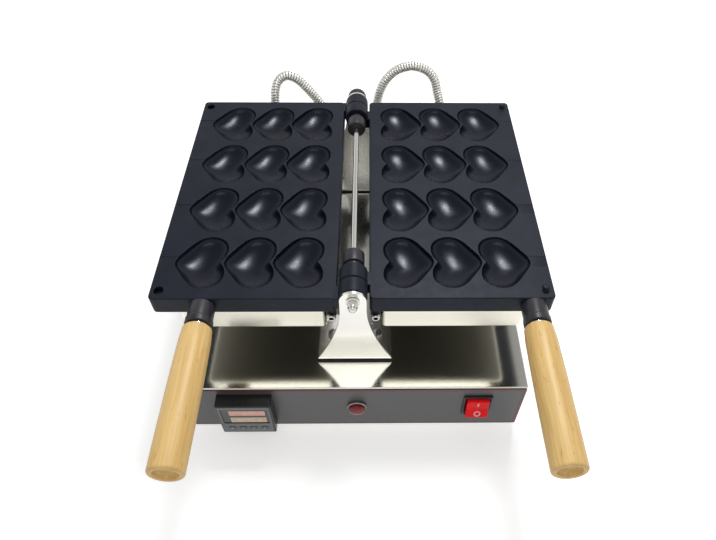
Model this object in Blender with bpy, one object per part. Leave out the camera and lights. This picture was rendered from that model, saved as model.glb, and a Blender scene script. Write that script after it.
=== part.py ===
# Electric heart waffle maker: two cast pans that fold about one rod over a steel base box.
# Metres, +Z up. The origin is on the table, under the centre of the whole machine.
# Base places are given from the pans' front edge (y) and the box's underside (z),
# pan places from the hinge axis, with x growing outwards.
import math

import bmesh
import bpy
from mathutils import Vector

# Fits
FIT_GAP = 0.0003
CUT_OVERRUN = 0.002
ROUND_SIDES = 18
SMALL_SIDES = 12
CORNER_STEPS = 3
DOME_STEPS = 4
SHARP_ANGLE = math.radians(35)
MERGE_DISTANCE = 0.000003

# Cast plates
PLATE_LENGTH = 0.266
PLATE_WIDTH = 0.147
PLATE_THICKNESS = 0.0175
PLATE_INNER_X = 0.013
PLATE_CORNER = 0.004
PLATE_CHAMFER = 0.0015
CLOSED_GAP = 0.0004
HINGE_HEIGHT = 0.150

# Heart cavities
HEART_ROWS = 4
HEART_COLUMNS = 3
ROW_MARGIN = 0.0108
ROW_GAP = 0.0068
INNER_MARGIN = 0.0115
OUTER_MARGIN = 0.014
HEART_NEST = 0.0020
CAVITY_FLOOR = 0.0065
HEART_CURVE_STEPS = 3
STICK_WIDTH = 0.012
STICK_DEPTH = 0.0015

# Half of the heart from notch to tip, as cubic curves: (length share, half width share)
HEART_CURVE_SHARES = (
    ((0.135, 0.0), (0.080, 0.06), (0.0, 0.24), (0.0, 0.50)),
    ((0.0, 0.50), (0.0, 0.80), (0.172, 1.0), (0.385, 1.0)),
    ((0.385, 1.0), (0.60, 1.0), (0.72, 0.70), (0.87, 0.39)),
    ((0.87, 0.39), (0.95, 0.22), (1.0, 0.12), (1.0, 0.0)),
)
HEART_CENTRE_SHARE = 0.46
# Bowl of a cavity: (size share, depth share)
BOWL_SHARES = ((0.96, 0.42), (0.81, 0.80), (0.48, 1.0))
BOWL_MOUTH_SHARE = 1.015

# Locating pegs and holes
PEG_RADIUS = 0.003
PEG_HEIGHT = 0.004
PEG_TIP_RADIUS = 0.0015
PEG_TIP_LENGTH = 0.001
PEG_HOLE_SLACK = 0.001
PEG_INSET_X = 0.007
PEG_INSET_Y = 0.009

# Hinge line
ROD_RADIUS = 0.0025
KNUCKLE_RADIUS = 0.0115
KNUCKLE_WIDTH = 0.0146
KNUCKLE_LEAD = 0.001
KNUCKLE_ROOT = 0.003
COLLAR_RADIUS = 0.009
COLLAR_LENGTH = 0.013
COLLAR_NECK_RADIUS = 0.007
COLLAR_NECK_LENGTH = 0.005
COLLAR_EDGE = 0.0015

# Hinge brackets
BRACKET_THICKNESS = 0.002
BRACKET_NECK = 0.0107
BRACKET_FOOT = 0.0322
BRACKET_FLANGE = 0.048
GASKET_THICKNESS = 0.0012
GASKET_RIM = 0.0008
# Flare of the bracket's sides: (share of the height below the axis, share of the widening)
FLARE_SHARES = (
    (0.0, 0.0), (0.18, 0.005), (0.30, 0.053), (0.40, 0.130), (0.50, 0.233), (0.60, 0.358),
    (0.70, 0.506), (0.80, 0.674), (0.90, 0.861), (0.96, 1.0), (1.0, 1.0),
)

# Bracket bolts
BOLT_RADIUS = 0.0025
BOLT_HEAD_RADIUS = 0.0045
BOLT_HEAD_HEIGHT = 0.0028
BOLT_HEAD_TOP_RADIUS = 0.0027
BOLT_REACH = 0.010
BOLT_SPREAD = 0.020
BOLT_SETBACK = 0.026

# Rod nuts
NUT_FLANGE_RADIUS = 0.0054
NUT_FLANGE_HEIGHT = 0.001
NUT_ACROSS_FLATS = 0.008
NUT_HEX_HEIGHT = 0.0045
NUT_DOME_HEIGHT = 0.0045
NUT_THREAD_DEPTH = 0.006
CAP_RADIUS = 0.0095
CAP_LENGTH = 0.012
CAP_EDGE = 0.004

# Base box
BASE_WIDTH = 0.300
BASE_HEIGHT = 0.065
BASE_FRONT_LEAD = 0.031
BASE_REAR_LEAD = 0.033
BASE_WALL = 0.0012
BASE_CORNER = 0.003
BASE_EDGE = 0.0012
BOTTOM_THICKNESS = 0.0015
FILM_THICKNESS = 0.0005
FILM_MARGIN = 0.0015

# Feet
FOOT_HEIGHT = 0.010
FOOT_RADIUS = 0.010
FOOT_TAPER = 0.0015
FOOT_INSET = 0.028

# Temperature controller, a 48 mm panel unit
PANEL_ROW_RISE = 0.0005
CONTROLLER_INSET = 0.054
CONTROLLER_SIZE = 0.048
CONTROLLER_BODY = 0.0445
CONTROLLER_BODY_DEPTH = 0.075
BEZEL_DEPTH = 0.012
BEZEL_EDGE = 0.0015
WINDOW_WIDTH = 0.040
WINDOW_HEIGHT = 0.0245
WINDOW_RISE = 0.0065
WINDOW_THICKNESS = 0.0008
WINDOW_RECESS = 0.0014
KEY_COUNT = 4
KEY_WIDTH = 0.0062
KEY_HEIGHT = 0.004
KEY_PITCH = 0.0096
KEY_DROP = 0.0140
KEY_LENGTH = 0.0016
KEY_PROUD = 0.0007
KEY_TRAVEL = 0.0008

# Indicator lamp
LAMP_X = 0.0015
LAMP_RISE = 0.003
LAMP_RING_RADIUS = 0.0086
LAMP_RING_DEPTH = 0.0022
LAMP_RING_EDGE = 0.0008
LAMP_BARREL_RADIUS = 0.0055
LAMP_BARREL_LENGTH = 0.022
LAMP_LENS_RADIUS = 0.0073
LAMP_LENS_DEPTH = 0.0048
LAMP_LENS_SIDE_SHARE = 0.3
LAMP_LENS_STEPS = 5
LAMP_STEM_RADIUS = 0.0035
LAMP_STEM_LENGTH = 0.004

# Power switch
SWITCH_INSET = 0.0415
SWITCH_RISE = 0.0045
SWITCH_WIDTH = 0.0254
SWITCH_HEIGHT = 0.031
SWITCH_BEZEL = 0.002
SWITCH_BODY_WIDTH = 0.0215
SWITCH_BODY_HEIGHT = 0.0285
SWITCH_BODY_DEPTH = 0.024
ROCKER_WIDTH = 0.0195
ROCKER_HALF_HEIGHT = 0.0125
ROCKER_PIVOT_DEPTH = 0.004
ROCKER_PROUD = 0.0050
ROCKER_DISH = 0.0018
ROCKER_BACK = 0.005
ROCKER_TILT = math.radians(-12)
# The rocker's side from its crest to its back: shares of half its height and of its proud depth
ROCKER_CREST_SHARE = 0.84
ROCKER_EDGE_SHARE = 0.95
ROCKER_BACK_SHARE = 0.7
ROCKER_WAIST_SHARE = 0.1
POCKET_SLACK = 0.0007

# Pan covers and what they hold
COVER_INNER_X = 0.022
COVER_OUTER_INSET = 0.020
COVER_SETBACK = 0.0015
COVER_DEPTH = 0.0225
COVER_WALL = 0.001
COVER_CORNER = 0.005
COVER_EDGE = 0.0015
COVER_NOTCH_HALF = 0.012
COVER_NOTCH_DEPTH = 0.012
HEATER_RADIUS = 0.004
HEATER_INSET = 0.022
HEATER_BEND = 0.020
HEATER_SPREAD = 0.020
PAD_INSET = 0.0015
PROBE_RADIUS = 0.0025
PROBE_LENGTH = 0.050
PROBE_COLLAR_RADIUS = 0.0035
PROBE_COLLAR_LENGTH = 0.008

# Cover bolts at the pans' inner front corners
LUG_WIDTH = 0.0074
LUG_HEIGHT = 0.0125
LUG_LENGTH = 0.009
COVER_BOLT_RADIUS = 0.002
COVER_BOLT_HEAD_RADIUS = 0.0034
COVER_BOLT_HEAD_HEIGHT = 0.0026
COVER_BOLT_EDGE = 0.00085
COVER_BOLT_DROP = 0.0075

# Handles
HANDLE_X = {"left": 0.1185, "right": 0.1435}
SOCKET_RADIUS = 0.0102
SOCKET_RING_RADIUS = 0.0108
SOCKET_LENGTH = 0.0200
SOCKET_RING_LENGTH = 0.006
SOCKET_EDGE = 0.001
WASHER_RADIUS = 0.0090
WASHER_THICKNESS = 0.0016
GRIP_RADIUS = 0.0127
GRIP_NECK_RADIUS = 0.0115
GRIP_LENGTH = 0.1150
GRIP_EDGE = 0.004
GRIP_NECK_EDGE = 0.002
GRIP_TAPER = 0.008
# Rounding of the grip's far end: (share of the edge inwards, share of the edge left)
GRIP_END_SHARES = ((0.0, 1.0), (0.25, 0.33), (0.75, 0.0))
HANDLE_BOLT_RADIUS = 0.003
HANDLE_BOLT_GRIP = 0.008
HANDLE_BOLT_REACH = 0.060
GRIP_DISH_RADIUS = 0.0085
GRIP_DISH_DEPTH = 0.004

# Ribbed metal conduits
CONDUIT_RADIUS = 0.0055
CONDUIT_VALLEY_SHARE = 0.86
CONDUIT_BORE_RADIUS = 0.0035
RIB_PITCH = 0.0036
CONDUIT_ARCH = 0.0415
CONDUIT_LEAN = 0.015
ROUTE_STEPS = 24
ELBOW_X = {"left": 0.090, "right": 0.090}
ELBOW_RADIUS = 0.0072
ELBOW_FOOT_INSET = 0.0022
ELBOW_FOOT_EDGE = 0.0029
ELBOW_BORE_RADIUS = 0.0045
ELBOW_BACK = 0.018
ELBOW_DROP = 0.0290
ELBOW_MOUTH_DROP = 0.0173
GLAND_X = 0.020
GLAND_BACK = 0.018
GLAND_RADIUS = 0.0075
GLAND_COLLAR_RADIUS = 0.00645
GLAND_HEX_HEIGHT = 0.006
GLAND_HEIGHT = 0.0142
GLAND_THREAD_RADIUS = 0.006
GLAND_THREAD_LENGTH = 0.007

# Mains gland in the rear wall
INLET_INSET = 0.055
INLET_RADIUS = 0.0095
INLET_COLLAR_RADIUS = 0.0081
INLET_TIP_RADIUS = 0.0065
INLET_NUT_LENGTH = 0.006
INLET_LENGTH = 0.012
INLET_THREAD_RADIUS = 0.008
INLET_THREAD_LENGTH = 0.008
INLET_BORE_RADIUS = 0.004

# Electrical parts inside the base
TERMINAL_WIDTH = 0.060
TERMINAL_LENGTH = 0.022
TERMINAL_HEIGHT = 0.024
TERMINAL_POLES = 5
TERMINAL_SLOT = 0.003
TERMINAL_INSET = (0.060, 0.064)
RELAY_WIDTH = 0.045
RELAY_LENGTH = 0.060
RELAY_HEIGHT = 0.026
RELAY_LIP = 0.004
RELAY_INSET = (0.080, 0.109)

# Places that follow from the sizes above
FACE_DROP = CLOSED_GAP / 2
PLATE_OUTER_X = PLATE_INNER_X + PLATE_WIDTH
PLATE_UNDERSIDE = -FACE_DROP - PLATE_THICKNESS
HANDLE_AXIS_Z = -FACE_DROP - PLATE_THICKNESS / 2
HEART_LENGTH = (
    PLATE_WIDTH - INNER_MARGIN - OUTER_MARGIN + (HEART_COLUMNS - 1) * HEART_NEST
) / HEART_COLUMNS
HEART_WIDTH = (PLATE_LENGTH - 2 * ROW_MARGIN - (HEART_ROWS - 1) * ROW_GAP) / HEART_ROWS
CAVITY_DEPTH = PLATE_THICKNESS - CAVITY_FLOOR
HANDLE_REACH = SOCKET_LENGTH + WASHER_THICKNESS + GRIP_LENGTH + 3 * FIT_GAP
BASE_REAR = PLATE_LENGTH + BASE_REAR_LEAD
PANEL_ROW_HEIGHT = BASE_HEIGHT / 2 + PANEL_ROW_RISE
CONTROLLER_X = CONTROLLER_INSET - BASE_WIDTH / 2
SWITCH_X = BASE_WIDTH / 2 - SWITCH_INSET
INLET_X = BASE_WIDTH / 2 - INLET_INSET
TERMINAL_PLACE = (BASE_WIDTH / 2 - TERMINAL_INSET[0], BASE_REAR - TERMINAL_INSET[1])
RELAY_PLACE = (RELAY_INSET[0] - BASE_WIDTH / 2, BASE_REAR - RELAY_INSET[1])
REAR_REACH = BASE_REAR + FIT_GAP + INLET_LENGTH
PLATE_FRONT_Y = (HANDLE_REACH - REAR_REACH) / 2
FILM_FACE = -BASE_FRONT_LEAD - FIT_GAP - FILM_THICKNESS
PANEL_FACE = FILM_FACE - FIT_GAP
SEAT_TOP = BASE_HEIGHT + GASKET_THICKNESS + 2 * FIT_GAP
FRONT_STACK = KNUCKLE_LEAD + FIT_GAP
REAR_STACK = PLATE_LENGTH - KNUCKLE_LEAD + FIT_GAP
ROD_HOLE_RADIUS = ROD_RADIUS + FIT_GAP

# Routes of the conduits from elbow to gland: (share of the way across from the gland,
# share of the lean backwards, share of the height up to the elbow, share of the arch above)
CONDUIT_ROUTES = {
    "right": (
        (0.953, 0.350, 1.000, 0.361), (0.896, 0.650, 1.000, 0.665), (0.766, 0.880, 1.000, 0.862),
        (0.556, 1.000, 1.000, 0.944), (0.334, 0.950, 1.000, 0.849), (0.176, 0.800, 1.000, 0.635),
        (0.083, 0.620, 1.000, 0.378), (0.030, 0.420, 1.000, 0.082), (0.007, 0.220, 0.800, 0.000),
        (0.000, 0.060, 0.540, 0.000), (0.000, 0.000, 0.286, 0.000),
    ),
    "left": (
        (0.983, 0.350, 1.000, 0.388), (0.928, 0.700, 1.000, 0.577), (0.809, 0.930, 1.000, 0.673),
        (0.664, 0.930, 1.000, 0.598), (0.530, 0.800, 1.000, 0.403), (0.356, 0.530, 1.000, 0.078),
        (0.222, 0.280, 0.821, 0.000), (0.097, 0.100, 0.530, 0.000), (0.021, 0.010, 0.267, 0.000),
    ),
}


def material(name, colour, roughness, metallic=0.0):
    found = bpy.data.materials.get(name)
    if found:
        return found
    made = bpy.data.materials.new(name)
    made.use_nodes = True
    shader = made.node_tree.nodes["Principled BSDF"]
    shader.inputs["Base Color"].default_value = (*colour, 1.0)
    shader.inputs["Roughness"].default_value = roughness
    shader.inputs["Metallic"].default_value = metallic
    made.diffuse_color = (*colour, 1.0)
    return made


def cast_black():
    return material("cast_black", (0.055, 0.056, 0.070), 0.42, 0.2)


def stainless():
    return material("stainless", (0.66, 0.65, 0.60), 0.22, 1.0)


def blackened_steel():
    return material("blackened_steel", (0.035, 0.035, 0.040), 0.35, 0.6)


def bright_steel():
    return material("bright_steel", (0.72, 0.72, 0.70), 0.18, 1.0)


def black_plastic():
    return material("black_plastic", (0.018, 0.019, 0.021), 0.45)


def black_rubber():
    return material("black_rubber", (0.012, 0.012, 0.012), 0.75)


def beech_wood():
    return material("beech_wood", (0.72, 0.45, 0.17), 0.5)


def grey_film():
    return material("grey_film", (0.125, 0.128, 0.130), 0.4)


def red_plastic():
    return material("red_plastic", (0.68, 0.0, 0.006), 0.25)


def dark_red_lens():
    return material("dark_red_lens", (0.10, 0.004, 0.010), 0.1)


def window_glass():
    return material("window_glass", (0.40, 0.16, 0.12), 0.12)


def white_ceramic():
    return material("white_ceramic", (0.75, 0.73, 0.68), 0.6)


def mineral_wool():
    return material("mineral_wool", (0.62, 0.58, 0.48), 0.95)


def nickel_brass():
    return material("nickel_brass", (0.50, 0.48, 0.44), 0.25, 1.0)


def add_object(name, bm, finish, parent, side=1):
    """Turn a mesh into a named object; side -1 mirrors it to the left pan."""
    if side < 0:
        bmesh.ops.scale(bm, vec=(-1, 1, 1), verts=bm.verts)
    bmesh.ops.recalc_face_normals(bm, faces=bm.faces)
    mesh = bpy.data.meshes.new(name)
    bm.to_mesh(mesh)
    bm.free()
    mesh.shade_smooth()
    mesh.set_sharp_from_angle(angle=SHARP_ANGLE)
    made = bpy.data.objects.new(name, mesh)
    bpy.context.scene.collection.objects.link(made)
    made.parent = parent
    made.data.materials.append(finish)
    return made


def add_cutter(name, bm, parent, side=1):
    cutter = add_object(name, bm, black_rubber(), parent, side)
    cutter.hide_render = True
    cutter.display_type = "WIRE"
    return cutter


def combine(target, tool, operation="DIFFERENCE"):
    boolean = target.modifiers.new(tool.name, "BOOLEAN")
    boolean.operation = operation
    boolean.solver = "EXACT"
    boolean.object = tool
    return boolean


def add_pivot(name, place, parent=None, tilt=0.0):
    pivot = bpy.data.objects.new(name, None)
    bpy.context.scene.collection.objects.link(pivot)
    pivot.location = place
    pivot.rotation_euler = (tilt, 0.0, 0.0)
    pivot.parent = parent
    return pivot


def loft(bm, rings):
    """Close a body through rings of equal point counts, capped at both ends."""
    rows = [[bm.verts.new(point) for point in ring] for ring in rings]
    count = len(rows[0])
    for low, high in zip(rows, rows[1:]):
        for i in range(count):
            j = (i + 1) % count
            bm.faces.new((low[i], low[j], high[j], high[i]))
    bm.faces.new(rows[0])
    bm.faces.new(rows[-1])


def box(bm, low, high):
    corners = ((0, 0), (1, 0), (1, 1), (0, 1))
    rings = [
        [((low, high)[i][0], (low, high)[j][1], z) for i, j in corners]
        for z in (low[2], high[2])
    ]
    loft(bm, rings)


def arc(centre, radius, start, end, steps):
    angles = [start + (end - start) * i / steps for i in range(steps + 1)]
    return [(centre[0] + radius * math.cos(a), centre[1] + radius * math.sin(a)) for a in angles]


def rounded_rectangle(low, high, radius):
    """Outline with round corners, anticlockwise from the lower right corner."""
    centres = (
        (high[0] - radius, low[1] + radius), (high[0] - radius, high[1] - radius),
        (low[0] + radius, high[1] - radius), (low[0] + radius, low[1] + radius),
    )
    points = []
    for i, centre in enumerate(centres):
        start = (i - 1) * math.pi / 2
        points += arc(centre, radius, start, start + math.pi / 2, CORNER_STEPS)
    return points


def inset_rectangle(low, high, radius, inset):
    smaller = max(radius - inset, radius / 2)
    return rounded_rectangle(
        (low[0] + inset, low[1] + inset), (high[0] - inset, high[1] - inset), smaller
    )


def at_height(outline, z):
    return [(x, y, z) for x, y in outline]


def turned(bm, profile, place, direction, sides, hollow=False):
    """Turn (radius, distance) points about a line; a hollow profile closes on itself."""
    turn = Vector((0, 0, 1)).rotation_difference(Vector(direction)).to_matrix()
    rows = []
    for radius, distance in profile:
        count = sides if radius > 0 else 1
        ring = []
        for i in range(count):
            angle = 2 * math.pi * i / sides
            spot = Vector((radius * math.cos(angle), radius * math.sin(angle), distance))
            ring.append(bm.verts.new(turn @ spot + Vector(place)))
        rows.append(ring)
    pairs = list(zip(rows, rows[1:]))
    if hollow:
        pairs.append((rows[-1], rows[0]))
    for low, high in pairs:
        for i in range(sides):
            j = (i + 1) % sides
            if len(low) == 1:
                bm.faces.new((low[0], high[j], high[i]))
            elif len(high) == 1:
                bm.faces.new((low[i], low[j], high[0]))
            else:
                bm.faces.new((low[i], low[j], high[j], high[i]))


def solid_profile(steps):
    """Close a stepped outline of (radius, distance) points on the axis at both ends."""
    return [(0.0, steps[0][1]), *steps, (0.0, steps[-1][1])]


def rod_between(bm, start, end, radius, sides):
    line = Vector(end) - Vector(start)
    turned(bm, solid_profile([(radius, 0.0), (radius, line.length)]), start, line.normalized(), sides)


def cubic(points, share):
    rest = 1 - share
    weights = (rest ** 3, 3 * rest ** 2 * share, 3 * rest * share ** 2, share ** 3)
    return tuple(sum(w * p[axis] for w, p in zip(weights, points)) for axis in range(2))


def heart_outline():
    """Heart outline about its centre: notch towards the hinge, tip outwards."""
    half = []
    for curve in HEART_CURVE_SHARES:
        half += [cubic(curve, i / HEART_CURVE_STEPS) for i in range(HEART_CURVE_STEPS)]
    half.append(HEART_CURVE_SHARES[-1][-1])
    upper = [
        ((x - HEART_CENTRE_SHARE) * HEART_LENGTH, y * HEART_WIDTH / 2) for x, y in half
    ]
    lower = [(x, -y) for x, y in reversed(upper[1:-1])]
    return upper + lower


def heart_places():
    step_x = HEART_LENGTH - HEART_NEST
    step_y = HEART_WIDTH + ROW_GAP
    for row in range(HEART_ROWS):
        for column in range(HEART_COLUMNS):
            yield (
                PLATE_INNER_X + INNER_MARGIN + column * step_x + HEART_CENTRE_SHARE * HEART_LENGTH,
                ROW_MARGIN + HEART_WIDTH / 2 + row * step_y,
            )


def cavity_cutter(prefix, pivot, side):
    bm = bmesh.new()
    outline = heart_outline()
    for x, y in heart_places():
        rings = [(BOWL_MOUTH_SHARE, CUT_OVERRUN)]
        rings += [(size, -FACE_DROP - share * CAVITY_DEPTH) for size, share in BOWL_SHARES]
        loft(bm, [[(x + size * u, y + size * v, z) for u, v in outline] for size, z in rings])
    return add_cutter(prefix + "cavity_cutter", bm, pivot, side)


def groove_cutter(prefix, pivot, side):
    bm = bmesh.new()
    places = list(heart_places())
    for row in range(HEART_ROWS):
        x, y = places[row * HEART_COLUMNS]
        low = (x, y - STICK_WIDTH / 2, -FACE_DROP - STICK_DEPTH)
        box(bm, low, (PLATE_OUTER_X + CUT_OVERRUN, y + STICK_WIDTH / 2, CUT_OVERRUN))
    return add_cutter(prefix + "groove_cutter", bm, pivot, side)


def knuckle_spans(hand):
    """Start and end of each knuckle along the rod: the left pan has the outer pair."""
    first = -KNUCKLE_LEAD
    last = PLATE_LENGTH - KNUCKLE_LEAD
    inner = KNUCKLE_WIDTH + FIT_GAP
    if hand == "left":
        return ((first, first + KNUCKLE_WIDTH), (last - KNUCKLE_WIDTH, last))
    return (
        (first + inner, first + inner + KNUCKLE_WIDTH),
        (last - inner - KNUCKLE_WIDTH, last - inner),
    )


def knuckle_pieces(prefix, hand, pivot, side):
    """Knuckle eyes, arms and the bolt lug as one union tool for each."""
    tools = []
    for i, (start, end) in enumerate(knuckle_spans(hand)):
        bm = bmesh.new()
        outline = arc((0.0, 0.0), KNUCKLE_RADIUS, math.pi / 2, math.pi * 3 / 2, ROUND_SIDES // 2)
        outline += [(PLATE_INNER_X + KNUCKLE_ROOT, -KNUCKLE_RADIUS)]
        outline += [(PLATE_INNER_X + KNUCKLE_ROOT, -FACE_DROP)]
        outline += arc((0.0, 0.0), KNUCKLE_RADIUS, 0.0, math.pi / 2, ROUND_SIDES // 4)[:-1]
        loft(bm, [[(x, y, z) for x, z in outline] for y in (start, end)])
        tools.append(add_cutter(f"{prefix}knuckle_{i}", bm, pivot, side))
    return tools


def plate_lug(prefix, pivot, side):
    bm = bmesh.new()
    inner = COVER_INNER_X - FIT_GAP - LUG_WIDTH
    low = (inner, COVER_SETBACK, PLATE_UNDERSIDE - LUG_HEIGHT)
    high = (inner + LUG_WIDTH, COVER_SETBACK + LUG_LENGTH, PLATE_UNDERSIDE + CUT_OVERRUN)
    box(bm, low, high)
    return add_cutter(prefix + "bolt_lug", bm, pivot, side)


def lug_bolt_place():
    x = COVER_INNER_X - FIT_GAP - LUG_WIDTH / 2
    return (x, COVER_SETBACK, PLATE_UNDERSIDE - COVER_BOLT_DROP)


def peg_places():
    x = PLATE_OUTER_X - PEG_INSET_X
    return ((x, PEG_INSET_Y), (x, PLATE_LENGTH - PEG_INSET_Y))


def plate_bores(prefix, hand, pivot, side):
    """Bores for the rod, the handle bolt and the cover bolt, and the left plate's peg holes."""
    bm = bmesh.new()
    for start, end in knuckle_spans(hand):
        ends = [(0.0, y, 0.0) for y in (start - CUT_OVERRUN, end + CUT_OVERRUN)]
        rod_between(bm, *ends, ROD_HOLE_RADIUS, SMALL_SIDES)
    handle = (HANDLE_X[hand], -CUT_OVERRUN, HANDLE_AXIS_Z)
    inside = (HANDLE_X[hand], HANDLE_BOLT_GRIP + FIT_GAP, HANDLE_AXIS_Z)
    rod_between(bm, handle, inside, HANDLE_BOLT_RADIUS + FIT_GAP, SMALL_SIDES)
    x, y, z = lug_bolt_place()
    rod_between(
        bm, (x, y - CUT_OVERRUN, z), (x, y + LUG_LENGTH + CUT_OVERRUN, z),
        COVER_BOLT_RADIUS + FIT_GAP, SMALL_SIDES,
    )
    if hand == "left":
        for x, y in peg_places():
            depth = -FACE_DROP - PEG_HEIGHT - PEG_HOLE_SLACK
            rod_between(
                bm, (x, y, depth), (x, y, CUT_OVERRUN), PEG_RADIUS + PEG_HOLE_SLACK, SMALL_SIDES
            )
    return add_cutter(prefix + "bores", bm, pivot, side)


def peg_tools(prefix, pivot, side):
    tools = []
    for i, (x, y) in enumerate(peg_places()):
        bm = bmesh.new()
        root = -FACE_DROP - PLATE_THICKNESS / 2
        tip = PEG_HEIGHT - FACE_DROP
        steps = [
            (PEG_RADIUS, root), (PEG_RADIUS, tip - PEG_TIP_LENGTH), (PEG_TIP_RADIUS, tip)
        ]
        turned(bm, solid_profile(steps), (x, y, 0.0), (0, 0, 1), SMALL_SIDES)
        tools.append(add_cutter(f"{prefix}peg_{i}", bm, pivot, side))
    return tools


def make_plate(prefix, hand, pivot, side):
    bm = bmesh.new()
    low = (PLATE_INNER_X, 0.0)
    high = (PLATE_OUTER_X, PLATE_LENGTH)
    outline = rounded_rectangle(low, high, PLATE_CORNER)
    top = inset_rectangle(low, high, PLATE_CORNER, PLATE_CHAMFER)
    loft(bm, [
        at_height(top, PLATE_UNDERSIDE),
        at_height(outline, PLATE_UNDERSIDE + PLATE_CHAMFER),
        at_height(outline, -FACE_DROP - PLATE_CHAMFER),
        at_height(top, -FACE_DROP),
    ])
    plate = add_object(prefix + "plate", bm, cast_black(), pivot, side)
    for tool in knuckle_pieces(prefix, hand, pivot, side):
        combine(plate, tool, "UNION")
    combine(plate, plate_lug(prefix, pivot, side), "UNION")
    if hand == "right":
        for tool in peg_tools(prefix, pivot, side):
            combine(plate, tool, "UNION")
    combine(plate, groove_cutter(prefix, pivot, side))
    combine(plate, cavity_cutter(prefix, pivot, side))
    combine(plate, plate_bores(prefix, hand, pivot, side))


def cover_limits():
    low = (COVER_INNER_X, COVER_SETBACK)
    high = (PLATE_OUTER_X - COVER_OUTER_INSET, PLATE_LENGTH - COVER_SETBACK)
    top = PLATE_UNDERSIDE - FIT_GAP
    return low, high, top, top - COVER_DEPTH


def make_cover(prefix, hand, pivot, side):
    low, high, top, bottom = cover_limits()
    outer = rounded_rectangle(low, high, COVER_CORNER)
    rim = inset_rectangle(low, high, COVER_CORNER, COVER_EDGE)
    inner = inset_rectangle(low, high, COVER_CORNER, COVER_WALL)
    bm = bmesh.new()
    loft(bm, [
        at_height(inner, bottom + COVER_WALL), at_height(inner, top), at_height(outer, top),
        at_height(outer, bottom + COVER_EDGE), at_height(rim, bottom),
    ])
    cover = add_object(prefix + "cover", bm, stainless(), pivot, side)
    cuts = bmesh.new()
    x = HANDLE_X[hand]
    edge = high[0] - COVER_CORNER
    notch_low = min(x - COVER_NOTCH_HALF, edge)
    notch_high = min(x + COVER_NOTCH_HALF, edge)
    if notch_high > notch_low:
        box(
            cuts,
            (notch_low, low[1] - CUT_OVERRUN, top - COVER_NOTCH_DEPTH),
            (notch_high, low[1] + COVER_WALL + CUT_OVERRUN, top + CUT_OVERRUN),
        )
    elbow_z = -ELBOW_DROP
    rod_between(
        cuts,
        (ELBOW_X[hand], high[1] - COVER_CORNER, elbow_z),
        (ELBOW_X[hand], high[1] + COVER_WALL, elbow_z),
        ELBOW_BORE_RADIUS + FIT_GAP, SMALL_SIDES,
    )
    boolean = combine(cover, add_cutter(prefix + "cover_cuts", cuts, pivot, side))
    # The thin open shell needs the solver's slower, safer test of inside and outside
    boolean.use_self = True


def tube(name, points, radius, finish, parent, resolution, radii=None, side=1):
    """A round tube along points, as a mesh with flat ends."""
    curve = bpy.data.curves.new(name, "CURVE")
    curve.dimensions = "3D"
    curve.bevel_depth = radius
    curve.bevel_resolution = resolution
    curve.use_fill_caps = True
    spline = curve.splines.new("POLY")
    spline.points.add(len(points) - 1)
    for i, point in enumerate(points):
        spline.points[i].co = (*point, 1.0)
        spline.points[i].radius = radii[i] if radii else 1.0
    guide = bpy.data.objects.new(name + "_guide", curve)
    bpy.context.scene.collection.objects.link(guide)
    view = bpy.context.evaluated_depsgraph_get()
    bm = bmesh.new()
    bm.from_mesh(guide.evaluated_get(view).to_mesh())
    bmesh.ops.remove_doubles(bm, verts=bm.verts, dist=MERGE_DISTANCE)
    bpy.data.objects.remove(guide)
    return add_object(name, bm, finish, parent, side)


def make_heater(prefix, pivot, side):
    """Tubular element: a long loop under the plate with both ends at the rear."""
    low, high, top, _ = cover_limits()
    left = low[0] + HEATER_INSET
    right = high[0] - HEATER_INSET
    front = low[1] + HEATER_INSET
    rear = high[1] - HEATER_INSET
    middle = (left + right) / 2
    bend = HEATER_BEND
    steps = CORNER_STEPS + 1
    loop = [(middle - HEATER_SPREAD, rear)]
    loop += arc((left + bend, rear - bend), bend, math.pi / 2, math.pi, steps)
    loop += arc((left + bend, front + bend), bend, math.pi, math.pi * 3 / 2, steps)
    loop += arc((right - bend, front + bend), bend, -math.pi / 2, 0.0, steps)
    loop += arc((right - bend, rear - bend), bend, 0.0, math.pi / 2, steps)
    loop += [(middle + HEATER_SPREAD, rear)]
    z = top - HEATER_RADIUS
    points = [(x, y, z) for x, y in loop]
    tube(prefix + "heating_element", points, HEATER_RADIUS, bright_steel(), pivot, 2, None, side)


def make_pad(prefix, pivot, side):
    low, high, top, bottom = cover_limits()
    inset = COVER_WALL + PAD_INSET
    outline = inset_rectangle(low, high, COVER_CORNER, inset)
    bm = bmesh.new()
    pad_low = bottom + COVER_WALL + FIT_GAP
    pad_high = top - 2 * HEATER_RADIUS - FIT_GAP
    loft(bm, [at_height(outline, pad_low), at_height(outline, pad_high)])
    add_object(prefix + "insulation_pad", bm, mineral_wool(), pivot, side)


def make_probe(prefix, pivot, side):
    low, high, top, _ = cover_limits()
    x = (low[0] + high[0]) / 2
    start = (low[1] + high[1]) / 2
    bm = bmesh.new()
    steps = [
        (PROBE_RADIUS, 0.0), (PROBE_RADIUS, PROBE_LENGTH),
        (PROBE_COLLAR_RADIUS, PROBE_LENGTH),
        (PROBE_COLLAR_RADIUS, PROBE_LENGTH + PROBE_COLLAR_LENGTH),
    ]
    place = (x, start, top - PROBE_COLLAR_RADIUS)
    turned(bm, solid_profile(steps), place, (0, 1, 0), SMALL_SIDES)
    add_object(prefix + "temperature_probe", bm, bright_steel(), pivot, side)


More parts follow.
